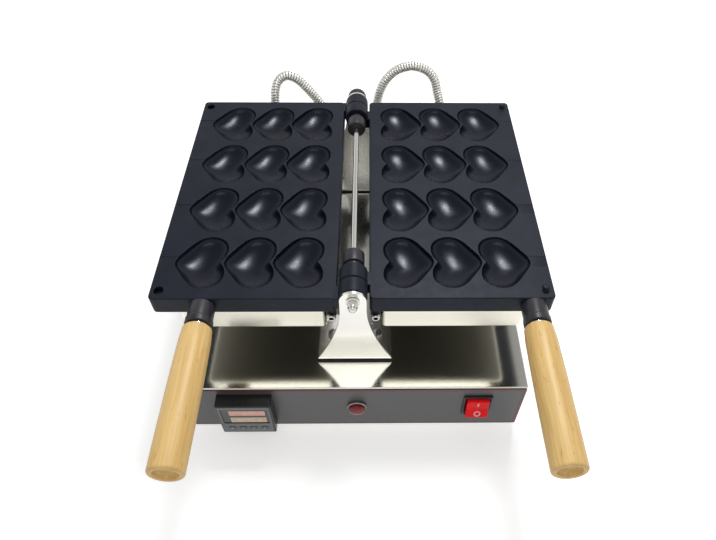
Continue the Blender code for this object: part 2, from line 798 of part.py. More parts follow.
def make_cover_bolt(prefix, pivot, side):
    x, y, z = lug_bolt_place()
    bm = bmesh.new()
    head = COVER_BOLT_HEAD_HEIGHT
    steps = [
        (COVER_BOLT_HEAD_RADIUS - COVER_BOLT_EDGE, 0.0), (COVER_BOLT_HEAD_RADIUS, COVER_BOLT_EDGE),
        (COVER_BOLT_HEAD_RADIUS, head), (COVER_BOLT_RADIUS, head),
        (COVER_BOLT_RADIUS, head + FIT_GAP + LUG_LENGTH),
    ]
    turned(bm, solid_profile(steps), (x, y - FIT_GAP - head, z), (0, 1, 0), SMALL_SIDES)
    add_object(prefix + "cover_bolt", bm, bright_steel(), pivot, side)


def make_handle(prefix, hand, pivot, side):
    x = HANDLE_X[hand]
    bolt_hole = HANDLE_BOLT_RADIUS + FIT_GAP
    bm = bmesh.new()
    ring_start = SOCKET_LENGTH - SOCKET_RING_LENGTH
    profile = [
        (bolt_hole, 0.0), (SOCKET_RADIUS - SOCKET_EDGE, 0.0), (SOCKET_RADIUS, SOCKET_EDGE),
        (SOCKET_RADIUS, ring_start), (SOCKET_RING_RADIUS, ring_start + SOCKET_EDGE),
        (SOCKET_RING_RADIUS, SOCKET_LENGTH), (bolt_hole, SOCKET_LENGTH),
    ]
    start = -FIT_GAP
    turned(bm, profile, (x, start, HANDLE_AXIS_Z), (0, -1, 0), ROUND_SIDES, hollow=True)
    add_object(prefix + "handle_socket", bm, blackened_steel(), pivot, side)

    start -= SOCKET_LENGTH + FIT_GAP
    bm = bmesh.new()
    profile = [
        (bolt_hole, 0.0), (WASHER_RADIUS, 0.0), (WASHER_RADIUS, WASHER_THICKNESS),
        (bolt_hole, WASHER_THICKNESS),
    ]
    turned(bm, profile, (x, start, HANDLE_AXIS_Z), (0, -1, 0), ROUND_SIDES, hollow=True)
    add_object(prefix + "handle_washer", bm, bright_steel(), pivot, side)

    start -= WASHER_THICKNESS + FIT_GAP
    bm = bmesh.new()
    dish = GRIP_LENGTH - GRIP_DISH_DEPTH
    bolt_end = HANDLE_BOLT_REACH + FIT_GAP
    profile = [(0.0, bolt_end), (bolt_hole, bolt_end), (bolt_hole, 0.0)]
    profile += [
        (GRIP_NECK_RADIUS - GRIP_NECK_EDGE, 0.0), (GRIP_NECK_RADIUS, GRIP_NECK_EDGE),
        (GRIP_RADIUS, GRIP_TAPER),
    ]
    profile += [
        (GRIP_RADIUS - inwards * GRIP_EDGE, GRIP_LENGTH - left * GRIP_EDGE)
        for inwards, left in GRIP_END_SHARES
    ]
    profile += [(GRIP_DISH_RADIUS, GRIP_LENGTH), (GRIP_DISH_RADIUS, dish), (0.0, dish)]
    turned(bm, profile, (x, start, HANDLE_AXIS_Z), (0, -1, 0), ROUND_SIDES)
    add_object(prefix + "wood_grip", bm, beech_wood(), pivot, side)

    bm = bmesh.new()
    shank = -start + HANDLE_BOLT_GRIP + HANDLE_BOLT_REACH
    steps = [(HANDLE_BOLT_RADIUS, 0.0), (HANDLE_BOLT_RADIUS, shank)]
    place = (x, HANDLE_BOLT_GRIP, HANDLE_AXIS_Z)
    turned(bm, solid_profile(steps), place, (0, -1, 0), SMALL_SIDES)
    add_object(prefix + "handle_bolt", bm, bright_steel(), pivot, side)


def make_elbow(prefix, hand, pivot, side):
    """Elbow fitting on the cover's rear wall: a level neck and an upright mouth."""
    x = ELBOW_X[hand]
    z = -ELBOW_DROP
    wall = cover_limits()[1][1]
    centre = PLATE_LENGTH + ELBOW_BACK
    mouth = -ELBOW_MOUTH_DROP
    bm = bmesh.new()
    neck = [
        (ELBOW_BORE_RADIUS, -COVER_WALL - PAD_INSET / 2), (ELBOW_BORE_RADIUS, FIT_GAP),
        (ELBOW_RADIUS, FIT_GAP), (ELBOW_RADIUS, centre - wall),
    ]
    turned(bm, solid_profile(neck), (x, wall, z), (0, 1, 0), ROUND_SIDES)
    elbow = add_object(prefix + "conduit_elbow", bm, nickel_brass(), pivot, side)
    bm = bmesh.new()
    foot = z - ELBOW_RADIUS
    steps = [
        (ELBOW_RADIUS - ELBOW_FOOT_INSET, 0.0), (ELBOW_RADIUS, ELBOW_FOOT_EDGE),
        (ELBOW_RADIUS, mouth - foot),
    ]
    turned(bm, solid_profile(steps), (x, centre, foot), (0, 0, 1), ROUND_SIDES)
    combine(elbow, add_cutter(prefix + "elbow_riser", bm, pivot, side), "UNION")
    bm = bmesh.new()
    rod_between(
        bm, (x, centre, mouth + CUT_OVERRUN), (x, centre, z), CONDUIT_BORE_RADIUS, SMALL_SIDES
    )
    combine(elbow, add_cutter(prefix + "elbow_bore", bm, pivot, side))


def make_pan(hand, base):
    side = 1 if hand == "right" else -1
    prefix = hand + "_"
    pivot = add_pivot(prefix + "pan_pivot", (0.0, 0.0, HINGE_HEIGHT), base)
    make_plate(prefix, hand, pivot, side)
    make_cover(prefix, hand, pivot, side)
    make_heater(prefix, pivot, side)
    make_pad(prefix, pivot, side)
    make_probe(prefix, pivot, side)
    make_cover_bolt(prefix, pivot, side)
    make_handle(prefix, hand, pivot, side)
    make_elbow(prefix, hand, pivot, side)


def bracket_half():
    """Right half of the bracket's outline, from the top of its eye down to the foot."""
    height = HINGE_HEIGHT - SEAT_TOP
    points = arc((0.0, 0.0), BRACKET_NECK, math.pi / 2, 0.0, ROUND_SIDES // 4)[1:]
    spread = BRACKET_FOOT - BRACKET_NECK
    points += [(BRACKET_NECK + w * spread, -d * height) for d, w in FLARE_SHARES[1:]]
    return [(x, z + HINGE_HEIGHT) for x, z in points]


def make_bracket(name, face, inward, base):
    """Flared upright plate with a foot flange bent inwards, on a gasket."""
    half = bracket_half()
    outline = [(0.0, HINGE_HEIGHT + BRACKET_NECK)] + half + [(-x, z) for x, z in reversed(half)]
    back = face + inward * BRACKET_THICKNESS
    bm = bmesh.new()
    loft(bm, [[(x, y, z) for x, z in outline] for y in (face, back)])
    bracket = add_object(name, bm, stainless(), base)

    bm = bmesh.new()
    end = face + inward * BRACKET_FLANGE
    near, far = sorted((face, end))
    flange = rounded_rectangle((-BRACKET_FOOT, near), (BRACKET_FOOT, far), BRACKET_THICKNESS)
    loft(bm, [at_height(flange, SEAT_TOP), at_height(flange, SEAT_TOP + BRACKET_THICKNESS)])
    combine(bracket, add_cutter(name + "_flange", bm, base), "UNION")

    bm = bmesh.new()
    ends = [(0.0, y, HINGE_HEIGHT) for y in (face - inward * CUT_OVERRUN, back + inward * CUT_OVERRUN)]
    rod_between(bm, *ends, ROD_HOLE_RADIUS, SMALL_SIDES)
    for x in (-BOLT_SPREAD, BOLT_SPREAD):
        y = face + inward * BOLT_SETBACK
        high = SEAT_TOP + BRACKET_THICKNESS + CUT_OVERRUN
        rod_between(
            bm, (x, y, SEAT_TOP - CUT_OVERRUN), (x, y, high), BOLT_RADIUS + FIT_GAP, SMALL_SIDES
        )
    combine(bracket, add_cutter(name + "_holes", bm, base))

    bm = bmesh.new()
    low = (-BRACKET_FOOT - GASKET_RIM, near - GASKET_RIM)
    high = (BRACKET_FOOT + GASKET_RIM, far + GASKET_RIM)
    outline = rounded_rectangle(low, high, BRACKET_THICKNESS)
    bottom = BASE_HEIGHT + FIT_GAP
    loft(bm, [at_height(outline, bottom), at_height(outline, bottom + GASKET_THICKNESS)])
    gasket = add_object(name + "_gasket", bm, black_rubber(), base)
    bm = bmesh.new()
    for x in (-BOLT_SPREAD, BOLT_SPREAD):
        y = face + inward * BOLT_SETBACK
        top = bottom + GASKET_THICKNESS + CUT_OVERRUN
        rod_between(bm, (x, y, BASE_HEIGHT - CUT_OVERRUN), (x, y, top),
                    BOLT_RADIUS + FIT_GAP, SMALL_SIDES)
    combine(gasket, add_cutter(name + "_gasket_holes", bm, base))

    for x, label in ((-BOLT_SPREAD, "left"), (BOLT_SPREAD, "right")):
        bm = bmesh.new()
        seat = SEAT_TOP + BRACKET_THICKNESS + FIT_GAP
        steps = [
            (BOLT_RADIUS, seat - BOLT_REACH), (BOLT_RADIUS, seat), (BOLT_HEAD_RADIUS, seat),
            (BOLT_HEAD_RADIUS, seat + BOLT_HEAD_HEIGHT / 2),
            (BOLT_HEAD_TOP_RADIUS, seat + BOLT_HEAD_HEIGHT),
        ]
        place = (x, face + inward * BOLT_SETBACK, 0.0)
        turned(bm, solid_profile(steps), place, (0, 0, 1), SMALL_SIDES)
        add_object(f"{name}_bolt_{label}", bm, bright_steel(), base)


def bracket_faces():
    """Outer faces of the front and the rear bracket."""
    front = -FRONT_STACK - BRACKET_THICKNESS
    rear = REAR_STACK + BRACKET_THICKNESS
    return front, rear


def make_hinge_line(base):
    front, rear = bracket_faces()
    bm = bmesh.new()
    start = front - NUT_THREAD_DEPTH
    end = rear + NUT_THREAD_DEPTH
    rod_between(bm, (0.0, start, HINGE_HEIGHT), (0.0, end, HINGE_HEIGHT), ROD_RADIUS, SMALL_SIDES)
    add_object("hinge_rod", bm, bright_steel(), base)

    bm = bmesh.new()
    hex_radius = NUT_ACROSS_FLATS / 2 / math.cos(math.pi / 6)
    top = NUT_FLANGE_HEIGHT + NUT_HEX_HEIGHT
    dome = [
        (NUT_ACROSS_FLATS / 2 * math.cos(a), top + NUT_DOME_HEIGHT * math.sin(a))
        for a in (math.pi / 2 * i / DOME_STEPS for i in range(DOME_STEPS))
    ]
    steps = [(NUT_FLANGE_RADIUS, 0.0), (NUT_FLANGE_RADIUS, NUT_FLANGE_HEIGHT)]
    steps += [(NUT_ACROSS_FLATS / 2, NUT_FLANGE_HEIGHT)] + dome
    place = (0.0, front - FIT_GAP, HINGE_HEIGHT)
    profile = [(0.0, 0.0), *steps, (0.0, top + NUT_DOME_HEIGHT)]
    turned(bm, profile, place, (0, -1, 0), ROUND_SIDES)
    nut = add_object("front_acorn_nut", bm, bright_steel(), base)
    bm = bmesh.new()
    low = (0.0, place[1] - NUT_FLANGE_HEIGHT / 2, HINGE_HEIGHT)
    turned(bm, solid_profile([(hex_radius, 0.0), (hex_radius, NUT_HEX_HEIGHT)]), low, (0, -1, 0), 6)
    combine(nut, add_cutter("acorn_hexagon", bm, base), "UNION")
    bm = bmesh.new()
    ends = [(0.0, place[1] + y, HINGE_HEIGHT) for y in (CUT_OVERRUN, -NUT_THREAD_DEPTH - FIT_GAP)]
    rod_between(bm, *ends, ROD_HOLE_RADIUS, SMALL_SIDES)
    combine(nut, add_cutter("acorn_thread", bm, base))

    bm = bmesh.new()
    depth = NUT_THREAD_DEPTH + FIT_GAP
    outside = [(CAP_RADIUS, 0.0)]
    outside += [
        (CAP_RADIUS - CAP_EDGE + CAP_EDGE * math.cos(a), CAP_LENGTH - CAP_EDGE + CAP_EDGE * math.sin(a))
        for a in (math.pi / 2 * i / DOME_STEPS for i in range(DOME_STEPS + 1))
    ]
    profile = [(0.0, depth), (ROD_HOLE_RADIUS, depth), (ROD_HOLE_RADIUS, 0.0)]
    profile += outside + [(0.0, CAP_LENGTH)]
    turned(bm, profile, (0.0, rear + FIT_GAP, HINGE_HEIGHT), (0, 1, 0), ROUND_SIDES)
    add_object("rear_cap_nut", bm, blackened_steel(), base)

    spans = knuckle_spans("right")
    for name, start, toward in (
        ("front_collar", spans[0][1] + FIT_GAP, 1), ("rear_collar", spans[1][0] - FIT_GAP, -1)
    ):
        bm = bmesh.new()
        length = COLLAR_NECK_LENGTH + COLLAR_LENGTH
        profile = [
            (ROD_HOLE_RADIUS, 0.0), (COLLAR_NECK_RADIUS, 0.0),
            (COLLAR_NECK_RADIUS, COLLAR_NECK_LENGTH),
            (COLLAR_RADIUS - COLLAR_EDGE, COLLAR_NECK_LENGTH),
            (COLLAR_RADIUS, COLLAR_NECK_LENGTH + COLLAR_EDGE),
            (COLLAR_RADIUS, length - COLLAR_EDGE), (COLLAR_RADIUS - COLLAR_EDGE, length),
            (ROD_HOLE_RADIUS, length),
        ]
        turned(bm, profile, (0.0, start, HINGE_HEIGHT), (0, toward, 0), ROUND_SIDES, hollow=True)
        add_object(name, bm, blackened_steel(), base)


def controller_centre():
    return CONTROLLER_X, PANEL_ROW_HEIGHT


def lamp_centre():
    return LAMP_X, PANEL_ROW_HEIGHT + LAMP_RISE


def switch_centre():
    return SWITCH_X, PANEL_ROW_HEIGHT + SWITCH_RISE


def gland_places():
    y = PLATE_LENGTH + GLAND_BACK
    return (("left", -GLAND_X, y), ("right", GLAND_X, y))


def centred_box(bm, centre, width, height, front, back, slack=0.0):
    """A box across the front panel, given its centre (x, z) and its depth in y."""
    x, z = centre
    half_x = width / 2 + slack
    half_z = height / 2 + slack
    box(bm, (x - half_x, front, z - half_z), (x + half_x, back, z + half_z))


def panel_cutter(name, front, back, base):
    """The front panel's openings, cut between two depths."""
    bm = bmesh.new()
    centred_box(bm, controller_centre(), CONTROLLER_BODY, CONTROLLER_BODY, front, back, FIT_GAP)
    centred_box(
        bm, switch_centre(), SWITCH_BODY_WIDTH, SWITCH_BODY_HEIGHT, front, back, FIT_GAP
    )
    x, z = lamp_centre()
    rod_between(bm, (x, front, z), (x, back, z), LAMP_BARREL_RADIUS + FIT_GAP, SMALL_SIDES)
    return add_cutter(name, bm, base)


def make_base_box(base):
    half = BASE_WIDTH / 2
    low = (-half, -BASE_FRONT_LEAD)
    high = (half, BASE_REAR)
    outer = rounded_rectangle(low, high, BASE_CORNER)
    rim = inset_rectangle(low, high, BASE_CORNER, BASE_EDGE)
    inner = inset_rectangle(low, high, BASE_CORNER, BASE_WALL)
    bm = bmesh.new()
    loft(bm, [
        at_height(inner, BASE_HEIGHT - BASE_WALL), at_height(inner, 0.0), at_height(outer, 0.0),
        at_height(outer, BASE_HEIGHT - BASE_EDGE), at_height(rim, BASE_HEIGHT),
    ])
    shell = add_object("base_shell", bm, stainless(), base)
    wall_back = -BASE_FRONT_LEAD + BASE_WALL + CUT_OVERRUN
    front_cuts = panel_cutter("front_openings", -BASE_FRONT_LEAD - CUT_OVERRUN, wall_back, base)
    combine(shell, front_cuts)
    bm = bmesh.new()
    below = BASE_HEIGHT - BASE_WALL - CUT_OVERRUN
    above = BASE_HEIGHT + CUT_OVERRUN
    front, rear = bracket_faces()
    for y in (front + BOLT_SETBACK, rear - BOLT_SETBACK):
        for x in (-BOLT_SPREAD, BOLT_SPREAD):
            rod_between(bm, (x, y, below), (x, y, above), BOLT_RADIUS + FIT_GAP, SMALL_SIDES)
    for _, x, y in gland_places():
        rod_between(bm, (x, y, below), (x, y, above), GLAND_THREAD_RADIUS + FIT_GAP, SMALL_SIDES)
    inlet = [(INLET_X, BASE_REAR + y, PANEL_ROW_HEIGHT) for y in (-BASE_WALL - CUT_OVERRUN, CUT_OVERRUN)]
    rod_between(bm, *inlet, INLET_THREAD_RADIUS + FIT_GAP, SMALL_SIDES)
    combine(shell, add_cutter("sheet_holes", bm, base))

    inset = BASE_WALL + FIT_GAP
    outline = inset_rectangle(low, high, BASE_CORNER, inset)
    bm = bmesh.new()
    loft(bm, [at_height(outline, 0.0), at_height(outline, BOTTOM_THICKNESS)])
    add_object("base_bottom_plate", bm, stainless(), base)

    bm = bmesh.new()
    reach = half - FILM_MARGIN - BASE_CORNER
    film_back = -BASE_FRONT_LEAD - FIT_GAP
    box(
        bm, (-reach, FILM_FACE, FILM_MARGIN), (reach, film_back, BASE_HEIGHT - FILM_MARGIN - BASE_EDGE)
    )
    film = add_object("front_panel_film", bm, grey_film(), base)
    film_cuts = panel_cutter("film_openings", FILM_FACE - CUT_OVERRUN, film_back + CUT_OVERRUN, base)
    combine(film, film_cuts)


def make_feet(base):
    rows = (("front", -BASE_FRONT_LEAD + FOOT_INSET), ("rear", BASE_REAR - FOOT_INSET))
    columns = (("left", -BASE_WIDTH / 2 + FOOT_INSET), ("right", BASE_WIDTH / 2 - FOOT_INSET))
    for row, y in rows:
        for column, x in columns:
            bm = bmesh.new()
            steps = [(FOOT_RADIUS - FOOT_TAPER, -FOOT_HEIGHT), (FOOT_RADIUS, -FIT_GAP)]
            turned(bm, solid_profile(steps), (x, y, 0.0), (0, 0, 1), ROUND_SIDES)
            add_object(f"foot_{row}_{column}", bm, black_rubber(), base)


def make_controller(base):
    centre = controller_centre()
    x, z = centre
    half = CONTROLLER_SIZE / 2
    face = PANEL_FACE - BEZEL_DEPTH
    bm = bmesh.new()
    outline = rounded_rectangle((x - half, z - half), (x + half, z + half), BEZEL_EDGE)
    small = inset_rectangle((x - half, z - half), (x + half, z + half), BEZEL_EDGE, BEZEL_EDGE)
    rings = ((outline, PANEL_FACE), (outline, face + BEZEL_EDGE), (small, face))
    loft(bm, [[(px, y, pz) for px, pz in ring] for ring, y in rings])
    housing = add_object("controller_housing", bm, black_plastic(), base)
    bm = bmesh.new()
    body_back = PANEL_FACE + CONTROLLER_BODY_DEPTH
    centred_box(
        bm, centre, CONTROLLER_BODY, CONTROLLER_BODY, PANEL_FACE - CUT_OVERRUN, body_back
    )
    combine(housing, add_cutter("controller_body", bm, base), "UNION")
    bm = bmesh.new()
    window = (x, z + WINDOW_RISE)
    centred_box(
        bm, window, WINDOW_WIDTH, WINDOW_HEIGHT, face - CUT_OVERRUN, face + WINDOW_RECESS, FIT_GAP
    )
    pocket = KEY_LENGTH - KEY_PROUD + KEY_TRAVEL + FIT_GAP
    for key in key_places():
        centred_box(
            bm, key, KEY_WIDTH, KEY_HEIGHT, face - CUT_OVERRUN, face + pocket, FIT_GAP
        )
    combine(housing, add_cutter("controller_recesses", bm, base))
    bm = bmesh.new()
    back = face + WINDOW_RECESS - FIT_GAP
    centred_box(bm, window, WINDOW_WIDTH, WINDOW_HEIGHT, back - WINDOW_THICKNESS, back)
    add_object("controller_window", bm, window_glass(), base)
    for i, key in enumerate(key_places()):
        bm = bmesh.new()
        front = face - KEY_PROUD
        centred_box(bm, key, KEY_WIDTH, KEY_HEIGHT, front, front + KEY_LENGTH)
        add_object(f"controller_key_{i + 1}", bm, black_rubber(), base)


def key_places():
    x, z = controller_centre()
    first = x - KEY_PITCH * (KEY_COUNT - 1) / 2
    return [(first + i * KEY_PITCH, z - KEY_DROP) for i in range(KEY_COUNT)]


def make_lamp(base):
    x, z = lamp_centre()
    bm = bmesh.new()
    ring = LAMP_RING_DEPTH
    stem_hole = LAMP_STEM_RADIUS + FIT_GAP
    depth = LAMP_STEM_LENGTH + FIT_GAP - ring
    profile = [
        (0.0, -depth), (stem_hole, -depth), (stem_hole, ring),
        (LAMP_RING_RADIUS - LAMP_RING_EDGE, ring), (LAMP_RING_RADIUS, ring - LAMP_RING_EDGE),
        (LAMP_RING_RADIUS, 0.0), (LAMP_BARREL_RADIUS, 0.0),
        (LAMP_BARREL_RADIUS, -LAMP_BARREL_LENGTH), (0.0, -LAMP_BARREL_LENGTH),
    ]
    turned(bm, profile, (x, PANEL_FACE, z), (0, -1, 0), ROUND_SIDES)
    add_object("lamp_bezel", bm, bright_steel(), base)
    bm = bmesh.new()
    seat = PANEL_FACE - ring - FIT_GAP
    side = LAMP_LENS_DEPTH * LAMP_LENS_SIDE_SHARE
    dome = [
        (LAMP_LENS_RADIUS * math.cos(a), side + (LAMP_LENS_DEPTH - side) * math.sin(a))
        for a in (math.pi / 2 * i / LAMP_LENS_STEPS for i in range(LAMP_LENS_STEPS))
    ]
    profile = [
        (0.0, -LAMP_STEM_LENGTH), (LAMP_STEM_RADIUS, -LAMP_STEM_LENGTH), (LAMP_STEM_RADIUS, 0.0),
        (LAMP_LENS_RADIUS, 0.0), *dome, (0.0, LAMP_LENS_DEPTH),
    ]
    turned(bm, profile, (x, seat, z), (0, -1, 0), ROUND_SIDES)
    add_object("lamp_lens", bm, dark_red_lens(), base)


def make_switch(base):
    centre = switch_centre()
    x, z = centre
    face = PANEL_FACE - SWITCH_BEZEL
    bm = bmesh.new()
    low = (x - SWITCH_WIDTH / 2, z - SWITCH_HEIGHT / 2)
    high = (x + SWITCH_WIDTH / 2, z + SWITCH_HEIGHT / 2)
    outline = rounded_rectangle(low, high, SWITCH_BEZEL / 2)
    small = inset_rectangle(low, high, SWITCH_BEZEL / 2, SWITCH_BEZEL / 2)
    rings = ((outline, PANEL_FACE), (outline, face + SWITCH_BEZEL / 2), (small, face))
    loft(bm, [[(px, y, pz) for px, pz in ring] for ring, y in rings])
    housing = add_object("switch_housing", bm, black_plastic(), base)
    bm = bmesh.new()
    body_front = PANEL_FACE - FIT_GAP
    body_back = PANEL_FACE + SWITCH_BODY_DEPTH
    centred_box(bm, centre, SWITCH_BODY_WIDTH, SWITCH_BODY_HEIGHT, body_front, body_back)
    combine(housing, add_cutter("switch_body", bm, base), "UNION")
    bm = bmesh.new()
    sweep = math.hypot(ROCKER_BACK, ROCKER_HALF_HEIGHT * ROCKER_BACK_SHARE)
    pocket_back = face + ROCKER_PIVOT_DEPTH + sweep + POCKET_SLACK
    pocket_height = 2 * (ROCKER_HALF_HEIGHT + POCKET_SLACK)
    centred_box(
        bm, centre, ROCKER_WIDTH + 2 * FIT_GAP, pocket_height, face - CUT_OVERRUN, pocket_back
    )
    combine(housing, add_cutter("switch_pocket", bm, base))

    place = (x, face + ROCKER_PIVOT_DEPTH, z)
    pivot = add_pivot("rocker_pivot", place, base, ROCKER_TILT)
    tall = ROCKER_HALF_HEIGHT
    proud = ROCKER_PIVOT_DEPTH + ROCKER_PROUD
    half = [
        (-proud + ROCKER_DISH, 0.0), (-proud, tall * ROCKER_CREST_SHARE),
        (-proud / 2, tall * ROCKER_EDGE_SHARE), (-proud * ROCKER_WAIST_SHARE, tall),
        (ROCKER_BACK / 2, tall * ROCKER_EDGE_SHARE), (ROCKER_BACK, tall * ROCKER_BACK_SHARE),
    ]
    outline = half + [(y, -h) for y, h in reversed(half[1:])]
    bm = bmesh.new()
    loft(bm, [[(px, y, h) for y, h in outline] for px in (-ROCKER_WIDTH / 2, ROCKER_WIDTH / 2)])
    add_object("switch_rocker", bm, red_plastic(), pivot)


def make_glands(base):
    for label, x, y in gland_places():
        bm = bmesh.new()
        seat = BASE_HEIGHT + FIT_GAP
        collar = GLAND_COLLAR_RADIUS
        profile = [
            (CONDUIT_BORE_RADIUS, -GLAND_THREAD_LENGTH), (GLAND_THREAD_RADIUS, -GLAND_THREAD_LENGTH),
            (GLAND_THREAD_RADIUS, 0.0), (GLAND_RADIUS, 0.0), (GLAND_RADIUS, GLAND_HEX_HEIGHT),
            (collar, GLAND_HEX_HEIGHT), (collar, GLAND_HEIGHT), (CONDUIT_BORE_RADIUS, GLAND_HEIGHT),
        ]
        turned(bm, profile, (x, y, seat), (0, 0, 1), ROUND_SIDES, hollow=True)
        add_object(f"base_gland_{label}", bm, nickel_brass(), base)
    bm = bmesh.new()
    collar = INLET_COLLAR_RADIUS
    profile = [
        (INLET_BORE_RADIUS, -INLET_THREAD_LENGTH), (INLET_THREAD_RADIUS, -INLET_THREAD_LENGTH),
        (INLET_THREAD_RADIUS, 0.0), (INLET_RADIUS, 0.0), (INLET_RADIUS, INLET_NUT_LENGTH),
        (collar, INLET_NUT_LENGTH + FIT_GAP), (INLET_TIP_RADIUS, INLET_LENGTH),
        (INLET_BORE_RADIUS, INLET_LENGTH),
    ]
    place = (INLET_X, BASE_REAR + FIT_GAP, PANEL_ROW_HEIGHT)
    turned(bm, profile, place, (0, 1, 0), ROUND_SIDES, hollow=True)
    add_object("mains_inlet_gland", bm, black_plastic(), base)


def spline_point(before, start, end, after, share):
    """Point on a Catmull-Rom curve between start and end."""
    square = share * share
    cube = square * share
    weights = (
        (-cube + 2 * square - share) / 2, (3 * cube - 5 * square + 2) / 2,
        (-3 * cube + 4 * square + share) / 2, (cube - square) / 2,
    )
    return sum((p * w for p, w in zip((before, start, end, after), weights)), Vector())


def smooth_route(points):
    first = points[0] * 2 - points[1]
    last = points[-1] * 2 - points[-2]
    held = [first, *points, last]
    route = []
    for i in range(len(points) - 1):
        four = held[i:i + 4]
        route += [spline_point(*four, step / ROUTE_STEPS) for step in range(ROUTE_STEPS)]
    return route + [points[-1]]


def even_points(route, count):
    """Points at equal distances along a fine route, ends included."""
    lengths = [0.0]
    for start, end in zip(route, route[1:]):
        lengths.append(lengths[-1] + (end - start).length)
    points = []
    i = 0
    for step in range(count + 1):
        goal = lengths[-1] * step / count
        while i < len(lengths) - 2 and lengths[i + 1] < goal:
            i += 1
        share = (goal - lengths[i]) / (lengths[i + 1] - lengths[i])
        points.append(route[i].lerp(route[i + 1], share))
    return points, lengths[-1]


def make_conduit(hand, base):
    """Ribbed hose with its bore, from the pan's elbow to the gland on the base."""
    side = 1 if hand == "right" else -1
    mouth = HINGE_HEIGHT - ELBOW_MOUTH_DROP + FIT_GAP
    seat = BASE_HEIGHT + GLAND_HEIGHT + 2 * FIT_GAP
    start = Vector((side * ELBOW_X[hand], PLATE_LENGTH + ELBOW_BACK, mouth))
    end = Vector((side * GLAND_X, PLATE_LENGTH + GLAND_BACK, seat))
    up = Vector((0.0, 0.0, CONDUIT_RADIUS))
    points = []
    for across, lean, rise, above in CONDUIT_ROUTES[hand]:
        spot = end.lerp(start, across)
        height = seat + rise * (mouth - seat) + above * CONDUIT_ARCH
        points.append(Vector((spot.x, spot.y + lean * CONDUIT_LEAN, height)))
    route = [start] + smooth_route([start + up, *points, end + up]) + [end]
    length = even_points(route, 1)[1]
    ribs = round(length / RIB_PITCH)
    spots = even_points(route, 2 * ribs)[0]
    radii = [CONDUIT_VALLEY_SHARE if i % 2 == 0 else 1.0 for i in range(len(spots))]
    name = f"{hand}_conduit"
    hose = tube(name, spots, CONDUIT_RADIUS, bright_steel(), base, 2, radii)
    bore = even_points(route, ribs // 2)[0]
    bore = [bore[0] - up] + bore + [bore[-1] - up]
    cutter = tube(name + "_bore", bore, CONDUIT_BORE_RADIUS, black_rubber(), base, 1)
    cutter.hide_render = True
    cutter.display_type = "WIRE"
    combine(hose, cutter)
    print(name, "length", round(length, 4), "ribs", ribs)


def make_electrics(base):
    floor = BOTTOM_THICKNESS + FIT_GAP
    bm = bmesh.new()
    x, y = TERMINAL_PLACE
    low = (x - TERMINAL_WIDTH / 2, y - TERMINAL_LENGTH / 2, floor)
    high = (x + TERMINAL_WIDTH / 2, y + TERMINAL_LENGTH / 2, floor + TERMINAL_HEIGHT)
    box(bm, low, high)
    block = add_object("terminal_block", bm, white_ceramic(), base)
    bm = bmesh.new()
    for i in range(1, TERMINAL_POLES):
        middle = low[0] + TERMINAL_WIDTH * i / TERMINAL_POLES
        box(
            bm, (middle - TERMINAL_SLOT / 2, low[1] - CUT_OVERRUN, floor + TERMINAL_HEIGHT / 2),
            (middle + TERMINAL_SLOT / 2, high[1] + CUT_OVERRUN, high[2] + CUT_OVERRUN),
        )
    combine(block, add_cutter("terminal_slots", bm, base))

    bm = bmesh.new()
    x, y = RELAY_PLACE
    low = (x - RELAY_WIDTH / 2, y - RELAY_LENGTH / 2)
    high = (x + RELAY_WIDTH / 2, y + RELAY_LENGTH / 2)
    plinth = rounded_rectangle(low, high, RELAY_LIP / 2)
    body = inset_rectangle(low, high, RELAY_LIP / 2, RELAY_LIP)
    loft(bm, [
        at_height(plinth, floor), at_height(plinth, floor + RELAY_LIP),
        at_height(body, floor + RELAY_LIP), at_height(body, floor + RELAY_HEIGHT),
    ])
    add_object("power_relay", bm, black_plastic(), base)


def main():
    for old in list(bpy.data.objects):
        bpy.data.objects.remove(old)
    base = add_pivot("base_frame", (0.0, PLATE_FRONT_Y, FOOT_HEIGHT))
    make_base_box(base)
    make_feet(base)
    make_controller(base)
    make_lamp(base)
    make_switch(base)
    make_glands(base)
    make_electrics(base)
    front, rear = bracket_faces()
    make_bracket("front_bracket", front, 1, base)
    make_bracket("rear_bracket", rear, -1, base)
    make_hinge_line(base)
    for hand in ("left", "right"):
        make_pan(hand, base)
        make_conduit(hand, base)


main()
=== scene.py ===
# Electric heart waffle maker: the looks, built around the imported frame.
# Metres, +Z up. Base places are given from the pans' front edge (y) and the box's underside (z),
# pan places from the hinge axis (z) and the pans' front edge (y), with x growing outwards.
import math

import bmesh
import bpy
from mathutils import Matrix, Vector


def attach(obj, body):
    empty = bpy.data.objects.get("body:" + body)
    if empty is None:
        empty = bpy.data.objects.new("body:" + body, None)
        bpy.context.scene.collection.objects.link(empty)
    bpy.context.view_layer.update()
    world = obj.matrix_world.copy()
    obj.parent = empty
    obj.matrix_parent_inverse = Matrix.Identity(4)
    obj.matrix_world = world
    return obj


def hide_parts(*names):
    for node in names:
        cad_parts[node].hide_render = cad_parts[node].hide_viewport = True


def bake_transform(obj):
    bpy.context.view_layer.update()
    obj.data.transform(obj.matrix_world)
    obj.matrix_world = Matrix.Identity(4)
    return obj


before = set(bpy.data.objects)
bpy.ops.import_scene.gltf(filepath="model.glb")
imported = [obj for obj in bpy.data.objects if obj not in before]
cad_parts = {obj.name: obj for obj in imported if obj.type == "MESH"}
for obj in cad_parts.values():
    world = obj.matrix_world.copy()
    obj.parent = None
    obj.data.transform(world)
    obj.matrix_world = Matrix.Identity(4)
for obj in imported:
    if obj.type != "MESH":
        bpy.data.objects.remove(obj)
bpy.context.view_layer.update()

# Frame places
FRONT_Y = -0.0869
FOOT_HEIGHT = 0.010
HINGE_HEIGHT = 0.150
GAP = 0.0003
OVERRUN = 0.002

# Roundness
ROUND = 48
FINE = 72
SMALL = 24

